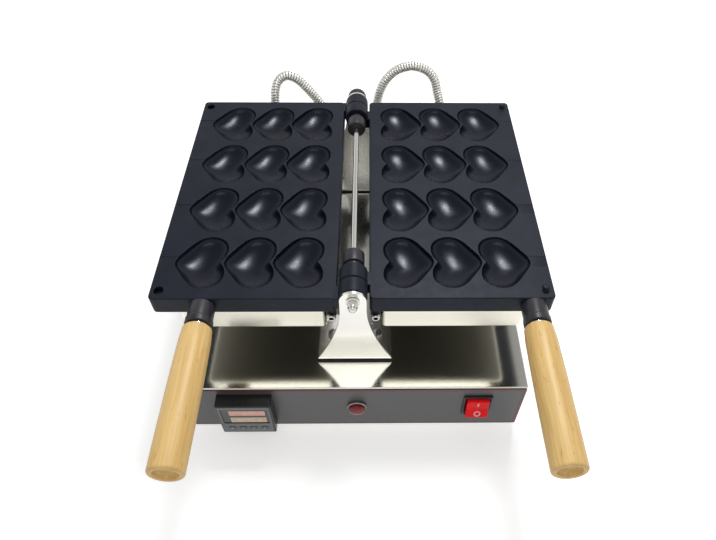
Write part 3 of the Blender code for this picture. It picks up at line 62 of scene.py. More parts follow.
# Cast plates
PLATE_LENGTH = 0.266
PLATE_WIDTH = 0.147
PLATE_THICKNESS = 0.0175
PLATE_INNER_X = 0.013
PLATE_OUTER_X = PLATE_INNER_X + PLATE_WIDTH
PLATE_CORNER = 0.004
PLATE_EDGE = 0.0011
PLATE_TOP = -0.0002
PLATE_BOTTOM = PLATE_TOP - PLATE_THICKNESS
HEART_ROWS = 4
HEART_COLUMNS = 3
ROW_MARGIN = 0.0108
ROW_GAP = 0.0068
INNER_MARGIN = 0.0115
OUTER_MARGIN = 0.014
HEART_NEST = 0.0020
HEART_LENGTH = (
    PLATE_WIDTH - INNER_MARGIN - OUTER_MARGIN + (HEART_COLUMNS - 1) * HEART_NEST
) / HEART_COLUMNS
HEART_WIDTH = (PLATE_LENGTH - 2 * ROW_MARGIN - (HEART_ROWS - 1) * ROW_GAP) / HEART_ROWS
HEART_CENTRE = 0.46
CAVITY_DEPTH = 0.011
RIM_RADIUS = 0.00045
STICK_WIDTH = 0.012
STICK_DEPTH = 0.0003
# Half of the heart from notch to tip, as cubic curves: (length share, half width share)
HEART_CURVES = (
    ((0.135, 0.0), (0.080, 0.06), (0.0, 0.24), (0.0, 0.50)),
    ((0.0, 0.50), (0.0, 0.80), (0.172, 1.0), (0.385, 1.0)),
    ((0.385, 1.0), (0.60, 1.0), (0.72, 0.70), (0.87, 0.39)),
    ((0.87, 0.39), (0.95, 0.22), (1.0, 0.12), (1.0, 0.0)),
)
HEART_POINTS = 84
# Rings of a cavity: (size share, smoothing passes); the depth follows from the size share
BOWL_RINGS = (
    (0.985, 0), (0.965, 1), (0.94, 1), (0.905, 2), (0.86, 3), (0.80, 5), (0.72, 7),
    (0.62, 9), (0.50, 12), (0.36, 14), (0.20, 16),
)
BOWL_ROUND = 2.1
BOWL_STEEP = 0.5

# Hinge line
KNUCKLE_RADIUS = 0.0115
KNUCKLE_WIDTH = 0.0146
KNUCKLE_LEAD = 0.001
KNUCKLE_ROOT = 0.003
KNUCKLE_EDGE = 0.0013
ROD_RADIUS = 0.0025
ROD_END = 0.006
PEG_RADIUS = 0.003
PEG_HEIGHT = 0.004
PEG_TIP = 0.0012
PEG_ROOT = 0.006
PEG_INSET_X = 0.007
PEG_INSET_Y = 0.009
PEG_ROOM = 0.001
PEG_HOLE_DEPTH = 0.0052
PEG_CHAMFER = 0.0005
PEG_OVERRUN = 0.0006

# Pan covers
COVER_INNER_X = 0.022
COVER_OUTER_X = PLATE_OUTER_X - 0.020
COVER_SETBACK = 0.0015
COVER_TOP = PLATE_BOTTOM - GAP
COVER_DEPTH = 0.0225
COVER_CORNER = 0.005
COVER_WALL = 0.001
COVER_EDGE = 0.0022
SOCKET_ROOM = 0.012
LUG_WIDTH = 0.0074
LUG_HEIGHT = 0.0125
LUG_LENGTH = 0.009
LUG_EDGE = 0.0012

# Handles
HANDLE_X = {"left": 0.1185, "right": 0.1435}
HANDLE_Z = PLATE_TOP - PLATE_THICKNESS / 2
SOCKET_LENGTH = 0.020
SOCKET_RADIUS = 0.0108
WASHER_RADIUS = 0.0090
WASHER_THICKNESS = 0.0016
GRIP_LENGTH = 0.115
GRIP_DISH = 0.004
BOLT_REACH = 0.060
BOLT_START = 0.008
BOLT_RADIUS = 0.003
BOLT_HOLE = BOLT_RADIUS + GAP

# Base box
BASE_HALF = 0.150
BASE_FRONT = -0.031
BASE_REAR = PLATE_LENGTH + 0.033
BASE_TOP = 0.065
BASE_SHEET = 0.0012
BASE_CORNER = 0.0014
FOOT_INSET = 0.028
FOOT_RADIUS = 0.0100
FOOT_TIP = 0.0085
FILM_THICKNESS = 0.0005
FILM_BORDER = 0.0032
FILM_SIDE = 0.0010
FILM_LOW = 0.0012
FILM_HIGH = BASE_TOP - 0.0016
FILM_CORNER = 0.0012
FILM_FACE = BASE_FRONT - GAP - FILM_THICKNESS
PANEL_FACE = FILM_FACE - GAP
PANEL_ROW = 0.033
CONTROLLER_X = -0.096
LAMP_X = 0.0015
LAMP_Z = 0.036
SWITCH_X = 0.1085
SWITCH_Z = 0.0375
INLET_X = 0.095
INLET_STEM = 0.0080
GASKET_THICKNESS = 0.0012
SEAT_TOP = BASE_TOP + GASKET_THICKNESS + 2 * GAP

# Brackets, of sheet bent once
BRACKET_NECK = 0.0107
BRACKET_FOOT = 0.0322
BRACKET_REACH = 0.048
BRACKET_BEND = 0.0026
BRACKET_SHEET = 0.002
BRACKET_CORNER = 0.002
BRACKET_FRONT = -KNUCKLE_LEAD - GAP - BRACKET_SHEET
BRACKET_REAR = PLATE_LENGTH - KNUCKLE_LEAD + GAP + BRACKET_SHEET
FLARE_START = 0.16
FLARE_POWER = 1.7
BRACKET_BOLT_X = 0.020
BRACKET_BOLT_Y = 0.026

# Controller
CONTROLLER_HALF = 0.024
CONTROLLER_PROUD = 0.012
CONTROLLER_BODY = 0.02225
CONTROLLER_LENGTH = 0.075
WINDOW_HALF_X = 0.020
WINDOW_HALF_Z = 0.01225
WINDOW_RISE = 0.0065
WINDOW_RECESS = 0.0014
KEY_STEP = 0.0096
KEY_DROP = 0.0140
KEY_HALF_X = 0.0031
KEY_HALF_Z = 0.0020

# Lamp and switch
LAMP_RING_DEPTH = 0.0022
LAMP_RING_RADIUS = 0.0086
LAMP_BARREL = 0.0055
LAMP_LENGTH = 0.022
LENS_STEM = 0.0035
LENS_RADIUS = 0.0073
LENS_SIDE = 0.0014
LENS_DEPTH = 0.0048
SWITCH_FRAME_DEPTH = 0.002
SWITCH_FRAME = (0.0127, 0.0155)
SWITCH_BODY = (0.01075, 0.01425)
SWITCH_POCKET = (0.01005, 0.0132)
SWITCH_LENGTH = 0.024
POCKET_DEPTH = 0.0148
ROCKER_PIVOT_DEPTH = 0.004
ROCKER_TILT = math.radians(-12)

# Conduits
ELBOW_Z = -0.0290
ELBOW_MOUTH = -0.0173
ELBOW_STEM = 0.0045
RISER_RADIUS = 0.0072
ELBOW_X = {"left": 0.090, "right": 0.090}
END_BACK = 0.018
GLAND_X = 0.020
GLAND_STEM = 0.0060
GLAND_HEIGHT = 0.0142
MOUTH_Z = HINGE_HEIGHT + ELBOW_MOUTH
CONDUIT_RADIUS = 0.0051
RIB_PITCH = 0.0028
RIB_ROWS = 10
CONDUIT_ARCH = 0.0415
CONDUIT_LEAN = 0.015
CONDUIT_ROUTES = {
    "right": (
        (0.953, 0.350, 1.000, 0.361), (0.896, 0.650, 1.000, 0.665), (0.766, 0.880, 1.000, 0.862),
        (0.556, 1.000, 1.000, 0.944), (0.334, 0.950, 1.000, 0.849), (0.176, 0.800, 1.000, 0.635),
        (0.083, 0.620, 1.000, 0.378), (0.030, 0.420, 1.000, 0.082), (0.007, 0.220, 0.800, 0.000),
        (0.000, 0.060, 0.540, 0.000), (0.000, 0.000, 0.286, 0.000),
    ),
    "left": (
        (0.983, 0.350, 1.000, 0.388), (0.928, 0.700, 1.000, 0.577), (0.809, 0.930, 1.000, 0.673),
        (0.664, 0.930, 1.000, 0.598), (0.530, 0.800, 1.000, 0.403), (0.356, 0.530, 1.000, 0.078),
        (0.222, 0.280, 0.821, 0.000), (0.097, 0.100, 0.530, 0.000), (0.021, 0.010, 0.267, 0.000),
    ),
}

# Camera and light
CAMERA_PLACE = (0.01380, -0.37663, 0.52653)
CAMERA_PITCH = math.radians(50.633)
CAMERA_YAW = math.radians(1.461)
CAMERA_ROLL = math.radians(1.006)
CAMERA_LENS = 30.094
CAMERA_SHIFT = (-0.03094, 0.02463)
WORLD_LIGHT = 0.50
REAR_POWER = 11.0
FRONT_POWER = 2.0
FLOOR_GLOW = 0.40
FLOOR_HALF = 6.0
CEILING_LIGHT = 0.4
REAR_LIGHT = ((0.204, 0.538, 1.34), (0.09, 0.0, 0.16), (0.28, 0.32))
FRONT_LIGHT = ((0.0, -0.65, 1.2), (0.0, 0.0, 0.1), (0.9, 0.3))


class Paint:
    """A node material, with short ways to add detail to its shader."""

    def __init__(self, name, colour, roughness, metallic=0.0, **constants):
        self.material = bpy.data.materials.new(name)
        self.material.use_nodes = True
        self.tree = self.material.node_tree
        self.shader = self.tree.nodes["Principled BSDF"]
        self.shader.inputs["Base Color"].default_value = (*colour, 1.0)
        self.shader.inputs["Roughness"].default_value = roughness
        self.shader.inputs["Metallic"].default_value = metallic
        for socket, value in constants.items():
            self.shader.inputs[socket.replace("_", " ")].default_value = value
        self.normal = None

    def node(self, kind, **settings):
        made = self.tree.nodes.new(kind)
        for key, value in settings.items():
            setattr(made, key, value)
        return made

    def link(self, output, node, socket):
        self.tree.links.new(output, node.inputs[socket])

    def place(self, stretch=(1, 1, 1), turn=(0, 0, 0)):
        coordinates = self.node("ShaderNodeTexCoord")
        mapping = self.node("ShaderNodeMapping")
        mapping.inputs["Scale"].default_value = stretch
        mapping.inputs["Rotation"].default_value = turn
        self.link(coordinates.outputs["Object"], mapping, "Vector")
        return mapping.outputs["Vector"]

    def noise(self, scale, stretch=(1, 1, 1), detail=3.0, rough=0.5, twist=0.0, turn=(0, 0, 0)):
        made = self.node("ShaderNodeTexNoise")
        made.inputs["Scale"].default_value = scale
        made.inputs["Detail"].default_value = detail
        made.inputs["Roughness"].default_value = rough
        made.inputs["Distortion"].default_value = twist
        self.link(self.place(stretch, turn), made, "Vector")
        return made.outputs["Fac"]

    def spread(self, value, low, high, start=0.3, end=0.7):
        made = self.node("ShaderNodeMapRange")
        made.inputs["From Min"].default_value = start
        made.inputs["From Max"].default_value = end
        made.inputs["To Min"].default_value = low
        made.inputs["To Max"].default_value = high
        self.link(value, made, "Value")
        return made.outputs["Result"]

    def ramp(self, value, stops):
        made = self.node("ShaderNodeValToRGB")
        points = made.color_ramp.elements
        while len(points) < len(stops):
            points.new(0.5)
        for point, (place, colour) in zip(points, stops):
            point.position = place
            point.color = (*colour, 1.0)
        self.link(value, made, "Fac")
        return made.outputs["Color"]

    def mix(self, share, one, two, kind="MIX"):
        made = self.node("ShaderNodeMix", data_type="RGBA", blend_type=kind)
        for socket, value in ((0, share), (6, one), (7, two)):
            if isinstance(value, bpy.types.NodeSocket):
                self.tree.links.new(value, made.inputs[socket])
            elif isinstance(value, float):
                made.inputs[socket].default_value = value
            else:
                made.inputs[socket].default_value = (*value, 1.0)
        return made.outputs[2]

    def colour(self, output):
        self.link(output, self.shader, "Base Color")
        return self

    def roughness(self, output):
        self.link(output, self.shader, "Roughness")
        return self

    def bump(self, height, strength, distance):
        made = self.node("ShaderNodeBump")
        made.inputs["Strength"].default_value = strength
        made.inputs["Distance"].default_value = distance
        self.link(height, made, "Height")
        if self.normal:
            self.link(self.normal, made, "Normal")
        self.normal = made.outputs["Normal"]
        self.link(self.normal, self.shader, "Normal")
        return self


def make_cast(name, low, high, rough, level):
    """Dark non-stick coat on cast metal: fine orange peel over slow casting waves."""
    paint = Paint(
        name, high, rough, Specular_IOR_Level=level, Specular_Tint=(0.86, 0.92, 1.0, 1.0),
    )
    paint.colour(paint.ramp(paint.noise(38.0, detail=5.0), ((0.30, low), (0.70, high))))
    paint.roughness(paint.spread(paint.noise(160.0, detail=6.0), rough - 0.04, rough + 0.04))
    paint.bump(paint.noise(1400.0, detail=2.0), 0.14, 0.0001)
    return paint.bump(paint.noise(260.0, detail=3.0), 0.08, 0.0003).material


def make_steel(name, colour, roughness, stretch, strength=0.05):
    paint = Paint(name, colour, roughness, 1.0)
    lines = paint.noise(420.0, stretch, detail=4.0, rough=0.65)
    paint.roughness(paint.spread(lines, roughness - 0.03, roughness + 0.06))
    wash = paint.noise(9.0, detail=3.0)
    low = tuple(c * 0.93 for c in colour)
    paint.colour(paint.ramp(wash, ((0.3, low), (0.7, colour))))
    return paint.bump(lines, strength, 0.00005).material


def make_blackened():
    paint = Paint("blackened_steel", (0.018, 0.018, 0.023), 0.42, Specular_IOR_Level=0.40)
    paint.roughness(paint.spread(paint.noise(500.0, detail=4.0), 0.36, 0.48))
    wear = paint.noise(120.0, detail=6.0)
    paint.colour(paint.ramp(wear, ((0.35, (0.014, 0.014, 0.018)), (0.75, (0.030, 0.030, 0.036)))))
    return paint.bump(paint.noise(1600.0, detail=2.0), 0.12, 0.0001).material


def make_plastic(name, colour, roughness, grain=0.15, **constants):
    paint = Paint(name, colour, roughness, **constants)
    paint.roughness(paint.spread(paint.noise(900.0, detail=3.0), roughness - 0.05, roughness + 0.06))
    low = tuple(c * 0.86 for c in colour)
    paint.colour(paint.ramp(paint.noise(70.0, detail=4.0), ((0.3, low), (0.7, colour))))
    return paint.bump(paint.noise(2600.0, detail=1.0), grain, 0.00008).material


def make_film(name, colour):
    paint = Paint(name, colour, 0.36, Specular_IOR_Level=0.5)
    fibre = paint.noise(300.0, (1.0, 1.0, 14.0), detail=3.0)
    low = tuple(c * 0.9 for c in colour)
    paint.colour(paint.ramp(fibre, ((0.3, low), (0.7, colour))))
    paint.roughness(paint.spread(paint.noise(1200.0, detail=2.0), 0.32, 0.44))
    return paint.bump(paint.noise(2200.0, detail=2.0), 0.14, 0.00006).material


def make_wood():
    paint = Paint("beech_wood", (0.72, 0.45, 0.17), 0.48, Coat_Weight=0.10, Coat_Roughness=0.30)
    long_grain = (1.0, 0.045, 1.0)
    bands = paint.noise(150.0, long_grain, detail=5.0, rough=0.55, twist=0.6)
    body = paint.ramp(bands, (
        (0.22, (0.60, 0.36, 0.110)), (0.45, (0.71, 0.465, 0.165)),
        (0.62, (0.78, 0.535, 0.210)), (0.82, (0.66, 0.42, 0.135)),
    ))
    fibre = paint.noise(1100.0, (1.0, 0.03, 1.0), detail=3.0, rough=0.6)
    tint = paint.ramp(fibre, ((0.32, (0.80, 0.78, 0.74)), (0.60, (1.0, 1.0, 1.0))))
    body = paint.mix(0.7, body, tint, "MULTIPLY")
    fleck = paint.noise(900.0, (1.0, 0.12, 1.0), detail=1.0)
    dots = paint.ramp(fleck, ((0.68, (1.0, 1.0, 1.0)), (0.76, (0.62, 0.50, 0.40))))
    body = paint.mix(0.8, body, dots, "MULTIPLY")
    paint.colour(body)
    paint.roughness(paint.spread(fibre, 0.44, 0.56))
    return paint.bump(fibre, 0.10, 0.00012).material


def make_lens():
    paint = Paint(
        "red_lens", (0.20, 0.004, 0.010), 0.14, Specular_IOR_Level=0.40, Transmission_Weight=0.15,
    )
    cells = paint.noise(420.0, detail=1.0)
    paint.colour(paint.ramp(cells, ((0.3, (0.15, 0.002, 0.008)), (0.7, (0.30, 0.004, 0.014)))))
    return paint.bump(cells, 0.10, 0.0002).material


def make_display(name, colour):
    paint = Paint(name, colour, 0.22, Coat_Weight=0.3, Coat_Roughness=0.1)
    low = tuple(c * 0.78 for c in colour)
    paint.colour(paint.ramp(paint.noise(210.0, detail=2.0), ((0.3, low), (0.7, colour))))
    return paint.bump(paint.noise(900.0), 0.04, 0.0001).material


def make_wool():
    paint = Paint("mineral_wool", (0.62, 0.58, 0.48), 0.95)
    hair = paint.noise(700.0, (1.0, 0.2, 1.0), detail=5.0)
    paint.colour(paint.ramp(hair, ((0.3, (0.45, 0.41, 0.33)), (0.7, (0.72, 0.68, 0.58)))))
    return paint.bump(hair, 0.6, 0.001).material


CAST_BLACK = make_cast("cast_black", (0.006, 0.008, 0.014), (0.012, 0.014, 0.024), 0.47, 0.20)
# Bowl coat: a glossier finish than the flat face, with a darker colour that is painted shade in the
# cavities
SHADED_BOWL_BLACK = make_cast("bowl_black_painted_shade", (0.002, 0.003, 0.008), (0.004, 0.005, 0.014), 0.28, 0.29)
BASE_STEEL = make_steel("stainless_base", (0.74, 0.73, 0.67), 0.12, (1.0, 40.0, 40.0), 0.03)
COVER_STEEL = make_steel("stainless_cover", (0.80, 0.78, 0.68), 0.20, (1.5, 1.0, 40.0), 0.05)
# Darker copy of the cover steel: painted shade for the covers' undersides
SHADED_COVER_UNDER = make_steel("stainless_cover_under_painted_shade", (0.30, 0.29, 0.25), 0.35, (1.0, 40.0, 1.0), 0.05)
BRACKET_STEEL = make_steel("stainless_bracket", (0.88, 0.87, 0.82), 0.22, (40.0, 40.0, 1.0), 0.05)
BRIGHT_STEEL = make_steel("bright_steel", (0.74, 0.73, 0.69), 0.16, (1.0, 1.0, 1.0), 0.04)
CONDUIT_STEEL = make_steel("conduit_steel", (0.84, 0.83, 0.78), 0.40, (1.0, 1.0, 1.0), 0.08)
# Darker copy of the hose steel: painted shade for the valleys between the ribs
SHADED_CONDUIT_VALLEY = make_steel("conduit_valley_painted_shade", (0.36, 0.35, 0.32), 0.50, (1.0, 1.0, 1.0), 0.08)
LAMP_STEEL = make_steel("lamp_steel", (0.30, 0.28, 0.27), 0.30, (1.0, 1.0, 1.0), 0.04)
NICKEL = make_steel("nickel_brass", (0.60, 0.58, 0.52), 0.20, (1.0, 1.0, 1.0), 0.04)
BLACKENED = make_blackened()
BLACK_PLASTIC = make_plastic("black_plastic", (0.012, 0.013, 0.014), 0.30, 0.12, Specular_IOR_Level=0.35)
FACE_PLASTIC = make_plastic("controller_face", (0.120, 0.135, 0.135), 0.34)
RUBBER = make_plastic("black_rubber", (0.014, 0.014, 0.014), 0.72, 0.4)
KEY_RUBBER = make_plastic("key_rubber", (0.105, 0.118, 0.118), 0.50, 0.3)
RED_PLASTIC = make_plastic("red_plastic", (0.92, 0.001, 0.006), 0.26, 0.06, Specular_IOR_Level=0.16)
MARK_PAINT = make_plastic("mark_paint", (0.95, 0.48, 0.46), 0.35, 0.1)
PALE_MARK = make_plastic("pale_mark", (0.36, 0.39, 0.39), 0.45, 0.1)
PANEL_FILM = make_film("grey_film", (0.085, 0.087, 0.088))
BORDER_FILM = make_film("film_border", (0.110, 0.040, 0.046))
RED_LENS = make_lens()
DISPLAY_TOP = make_display("display_top", (0.80, 0.40, 0.30))
DISPLAY_LOW = make_display("display_low", (0.70, 0.50, 0.34))
DIGIT = make_display("display_digit", (0.88, 0.55, 0.45))
WINDOW_DARK = make_plastic("window_dark", (0.030, 0.036, 0.028), 0.15, 0.03)
CERAMIC = make_plastic("ceramic", (0.75, 0.73, 0.68), 0.45, 0.2)
WOOL = make_wool()
WOOD = make_wood()


def new_object(name, bm, finishes, sharp=35.0):
    bmesh.ops.recalc_face_normals(bm, faces=bm.faces)
    mesh = bpy.data.meshes.new(name)
    bm.to_mesh(mesh)
    bm.free()
    mesh.shade_smooth()
    mesh.set_sharp_from_angle(angle=math.radians(sharp))
    made = bpy.data.objects.new(name, mesh)
    bpy.context.scene.collection.objects.link(made)
    for finish in finishes:
        mesh.materials.append(finish)
    return made


def declare(piece, body, nodes):
    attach(piece, body)
    if nodes:
        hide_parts(*nodes)
    return piece


def base_shift(bm):
    bmesh.ops.translate(bm, vec=(0.0, FRONT_Y, FOOT_HEIGHT), verts=bm.verts)


def base_tool(name, bm, finishes):
    """A shape given in base places that is cut from a piece, or joined to it."""
    base_shift(bm)
    return new_object(name, bm, finishes)


def base_piece(name, bm, finishes, slot, *nodes, sharp=35.0, body="base"):
    """A piece given in base places."""
    base_shift(bm)
    return declare(new_object(name, bm, finishes, sharp), body, nodes)


def pan_shift(bm, hand):
    if hand == "left":
        bmesh.ops.scale(bm, vec=(-1, 1, 1), verts=bm.verts)
    bmesh.ops.translate(bm, vec=(0.0, FRONT_Y, FOOT_HEIGHT + HINGE_HEIGHT), verts=bm.verts)


def pan_tool(name, bm, hand, *finishes):
    """A shape given in pan places that is cut from a piece, or joined to it."""
    pan_shift(bm, hand)
    return new_object(name, bm, finishes)


def pan_piece(node, ending, bm, finishes, hand):
    """A piece given in pan places that stands for one of the pan's nodes."""
    pan_shift(bm, hand)
    node = f"{hand}_{node}"
    return declare(new_object(f"{node}_{ending}", bm, finishes), hand + "_pan", [node])


def applied(target, tools, sharp=None):
    """Run the target's modifiers, then drop them and the tools."""
    if sharp:
        target.data.set_sharp_from_angle(angle=math.radians(sharp))
    even_normals = target.modifiers.new("even", "WEIGHTED_NORMAL")
    even_normals.keep_sharp = True
    view = bpy.context.evaluated_depsgraph_get()
    view.update()
    mesh = bpy.data.meshes.new_from_object(
        target.evaluated_get(view), preserve_all_data_layers=True, depsgraph=view
    )
    target.modifiers.clear()
    target.data = mesh
    for tool in tools:
        bpy.data.objects.remove(tool)
    return target


def cut(target, tool, operation="DIFFERENCE", own=False):
    boolean = target.modifiers.new(tool.name, "BOOLEAN")
    boolean.operation = operation
    boolean.solver = "EXACT"
    boolean.use_self = own
    boolean.object = tool


def loft(bm, rings, closed=False):
    """Skin rings of equal point counts, capped at both ends unless closed on itself."""
    rows = [[bm.verts.new(point) for point in ring] for ring in rings]
    count = len(rows[0])
    pairs = list(zip(rows, rows[1:]))
    if closed:
        pairs.append((rows[-1], rows[0]))
    for low, high in pairs:
        for i in range(count):
            j = (i + 1) % count
            bm.faces.new((low[i], low[j], high[j], high[i]))
    if not closed:
        bm.faces.new(rows[0])
        bm.faces.new(rows[-1])
    return rows


def rounded(points, steps=4, closed=False):
    """Turn (a, b, radius) corners into an outline with arcs."""
    made = []
    count = len(points)
    for i, (a, b, radius) in enumerate(points):
        if radius <= 0 or (not closed and i in (0, count - 1)):
            made.append((a, b))
            continue
        corner = Vector((a, b))
        one = (Vector(points[i - 1][:2]) - corner).normalized()
        two = (Vector(points[(i + 1) % count][:2]) - corner).normalized()
        half = one.angle(two) / 2
        centre = corner + (one + two).normalized() * (radius / math.sin(half))
        start = corner + one * (radius / math.tan(half)) - centre
        end = corner + two * (radius / math.tan(half)) - centre
        first = math.atan2(start.y, start.x)
        turn = (math.atan2(end.y, end.x) - first + math.pi) % (2 * math.pi) - math.pi
        for k in range(steps + 1):
            angle = first + turn * k / steps
            made.append((centre.x + radius * math.cos(angle), centre.y + radius * math.sin(angle)))
    return made


def rectangle(low, high, radius, steps=5):
    corners = ((high[0], low[1]), (high[0], high[1]), (low[0], high[1]), (low[0], low[1]))
    return rounded([(x, y, radius) for x, y in corners], steps, closed=True)


def grown(outline, distance):
    """Move a closed anticlockwise outline outwards."""
    made = []
    count = len(outline)
    for i, (x, y) in enumerate(outline):
        before = Vector(outline[i - 1])
        after = Vector(outline[(i + 1) % count])
        here = Vector((x, y))
        one = (here - before).normalized()
        two = (after - here).normalized()
        side = Vector((one.y, -one.x)) + Vector((two.y, -two.x))
        side.normalize()
        reach = distance / max(side.dot(Vector((one.y, -one.x))), 0.6)
        made.append((x + side.x * reach, y + side.y * reach))
    return made


def quarter(steps):
    """What cosine and sine lose from one along a quarter turn."""
    turns = [math.pi / 2 * k / steps for k in range(steps + 1)]
    return [(1 - math.cos(t), 1 - math.sin(t)) for t in turns]


AXES = {
    "x": lambda a, b, along: (along, a, b),
    "y": lambda a, b, along: (a, along, b),
    "z": lambda a, b, along: (a, b, along),
}


def extruded(bm, outline, axis, low, high, edge=0.0, steps=3, ends=(True, True)):
    """Extrude a flat anticlockwise outline along an axis, with rounded end edges."""
    place = AXES[axis]
    rings = []
    if edge > 0 and ends[0]:
        rings += [(edge * fall, low + edge * rise) for rise, fall in quarter(steps)]
    else:
        rings.append((0.0, low))
    if edge > 0 and ends[1]:
        rings += [(edge * rise, high - edge * fall) for rise, fall in quarter(steps)]
    else:
        rings.append((0.0, high))
    skins = []
    for inset, along in rings:
        shape = grown(outline, -inset) if inset > 0 else outline
        skins.append([place(a, b, along) for a, b in shape])
    loft(bm, skins)


def bar(bm, low, high, edge, steps=3):
    """A box with all its edges rounded."""
    outline = rectangle(low[:2], high[:2], edge, steps)
    extruded(bm, outline, "z", low[2], high[2], edge, steps)


def turned(bm, profile, place, direction, sides=ROUND, flats=None, span=(-1.0, 1.0)):
    """Turn (radius, distance) points about a line; flats keeps a span of it to a hexagon."""
    turn = Vector((0, 0, 1)).rotation_difference(Vector(direction)).to_matrix()
    hollow = profile[0][0] > 0 and profile[-1][0] > 0
    rows = []
    for radius, distance in profile:
        ring = []
        for i in range(sides if radius > 0 else 1):
            angle = 2 * math.pi * i / sides
            reach = radius
            if flats and span[0] <= distance <= span[1]:
                off = (angle + math.pi / 6) % (math.pi / 3) - math.pi / 6
                reach = min(radius, flats / 2 / math.cos(off))
            spot = Vector((reach * math.cos(angle), reach * math.sin(angle), distance))
            ring.append(bm.verts.new(turn @ spot + Vector(place)))
        rows.append(ring)
    pairs = list(zip(rows, rows[1:]))
    if hollow:
        pairs.append((rows[-1], rows[0]))
    for low, high in pairs:
        for i in range(sides):
            j = (i + 1) % sides
            if len(low) == 1 and len(high) == 1:
                continue
            if len(low) == 1:
                bm.faces.new((low[0], high[j], high[i]))
            elif len(high) == 1:
                bm.faces.new((low[i], low[j], high[0]))
            else:
                bm.faces.new((low[i], low[j], high[j], high[i]))


def drill(bm, radius, length, place, direction):
    """A plain cylinder, mostly for a hole."""
    turned(bm, [(0.0, 0.0), (radius, 0.0), (radius, length), (0.0, length)], place, direction, SMALL)


def cubic(points, share):
    rest = 1 - share
    weights = (rest ** 3, 3 * rest ** 2 * share, 3 * rest * share ** 2, share ** 3)
    return tuple(sum(w * p[axis] for w, p in zip(weights, points)) for axis in range(2))


def even_points(route, count):
    """Points at equal distances along a fine route, ends included, and its length."""
    lengths = [0.0]
    for start, end in zip(route, route[1:]):
        lengths.append(lengths[-1] + (end - start).length)
    points = []
    i = 0
    for step in range(count + 1):
        goal = lengths[-1] * step / count
        while i < len(lengths) - 2 and lengths[i + 1] < goal:
            i += 1
        share = (goal - lengths[i]) / (lengths[i + 1] - lengths[i])
        points.append(route[i].lerp(route[i + 1], share))
    return points, lengths[-1]


def relaxed(outline, passes):
    for _ in range(passes):
        count = len(outline)
        outline = [
            tuple(
                (outline[i - 1][k] + 2 * outline[i][k] + outline[(i + 1) % count][k]) / 4
                for k in range(2)
            )
            for i in range(count)
        ]
    return outline


def heart_outline():
    """Even, anticlockwise heart outline about its centre: notch inwards, tip outwards."""
    steps = 16
    half = []
    for curve in HEART_CURVES:
        half += [cubic(curve, i / steps) for i in range(steps)]
    half.append(HEART_CURVES[-1][-1])
    upper = [((x - HEART_CENTRE) * HEART_LENGTH, y * HEART_WIDTH / 2) for x, y in half]
    lower = [(x, -y) for x, y in reversed(upper[1:-1])]
    closed = [Vector(p) for p in upper + lower + upper[:1]]
    points, _ = even_points(closed, HEART_POINTS)
    outline = [(p.x, p.y) for p in reversed(points[:-1])]
    return relaxed(outline, 1)


def heart_places():
    step_x = HEART_LENGTH - HEART_NEST
    step_y = HEART_WIDTH + ROW_GAP
    for row in range(HEART_ROWS):
        for column in range(HEART_COLUMNS):
            yield (
                PLATE_INNER_X + INNER_MARGIN + column * step_x + HEART_CENTRE * HEART_LENGTH,
                ROW_MARGIN + HEART_WIDTH / 2 + row * step_y,
            )


def cavity_rings():
    """Flat outlines and heights of one cavity, from above the face down to its floor."""
    outline = heart_outline()
    rings = [(grown(outline, RIM_RADIUS + 0.0004), PLATE_TOP + 0.0004)]
    for k in (1, 2, 3):
        angle = math.pi / 2 * k / 4
        out = RIM_RADIUS * (1 - math.sin(angle))
        rings.append((grown(outline, out), PLATE_TOP - RIM_RADIUS * (1 - math.cos(angle))))
    rings.append((outline, PLATE_TOP - RIM_RADIUS))
    shape = outline
    for size, passes in BOWL_RINGS:
        shape = relaxed(shape, passes)
        depth = (1 - size ** BOWL_ROUND) ** BOWL_STEEP * CAVITY_DEPTH
        rings.append(([(size * x, size * y) for x, y in shape], PLATE_TOP - depth))
    return rings


def cavity_tool(hand):
    bm = bmesh.new()
    rings = cavity_rings()
    for x, y in heart_places():
        rows = [[bm.verts.new((x + u, y + v, z)) for u, v in ring] for ring, z in rings]
        for low, high in zip(rows, rows[1:]):
            for i in range(HEART_POINTS):
                j = (i + 1) % HEART_POINTS
                bm.faces.new((low[i], low[j], high[j], high[i]))
        bm.faces.new(rows[0])
        floor = bm.verts.new((x, y, PLATE_TOP - CAVITY_DEPTH))
        for i in range(HEART_POINTS):
            bm.faces.new((rows[-1][i], rows[-1][(i + 1) % HEART_POINTS], floor))
    # Every cavity face takes the darker bowl coat: painted shade in the hollows
    for face in bm.faces:
        face.material_index = 1
    return pan_tool("cavity_tool", bm, hand, CAST_BLACK, SHADED_BOWL_BLACK)


def groove_tool(hand):
    bm = bmesh.new()
    places = list(heart_places())
    for row in range(HEART_ROWS):
        x, y = places[row * HEART_COLUMNS]
        half = STICK_WIDTH / 2
        floor = PLATE_TOP - STICK_DEPTH
        outline = rounded([
            (y - half, floor, 0.0005), (y + half, floor, 0.0005),
            (y + half + 0.0001, OVERRUN, 0.0), (y - half - 0.0001, OVERRUN, 0.0),
        ], 3, closed=True)
        extruded(bm, outline, "x", x, PLATE_OUTER_X + OVERRUN)
    return pan_tool("groove_tool", bm, hand, CAST_BLACK)


def knuckle_spans(hand):
    first = -KNUCKLE_LEAD
    last = PLATE_LENGTH - KNUCKLE_LEAD
    inner = KNUCKLE_WIDTH + GAP
    if hand == "left":
        return ((first, first + KNUCKLE_WIDTH), (last - KNUCKLE_WIDTH, last))
    return ((first + inner, first + inner + KNUCKLE_WIDTH), (last - inner - KNUCKLE_WIDTH, last - inner))


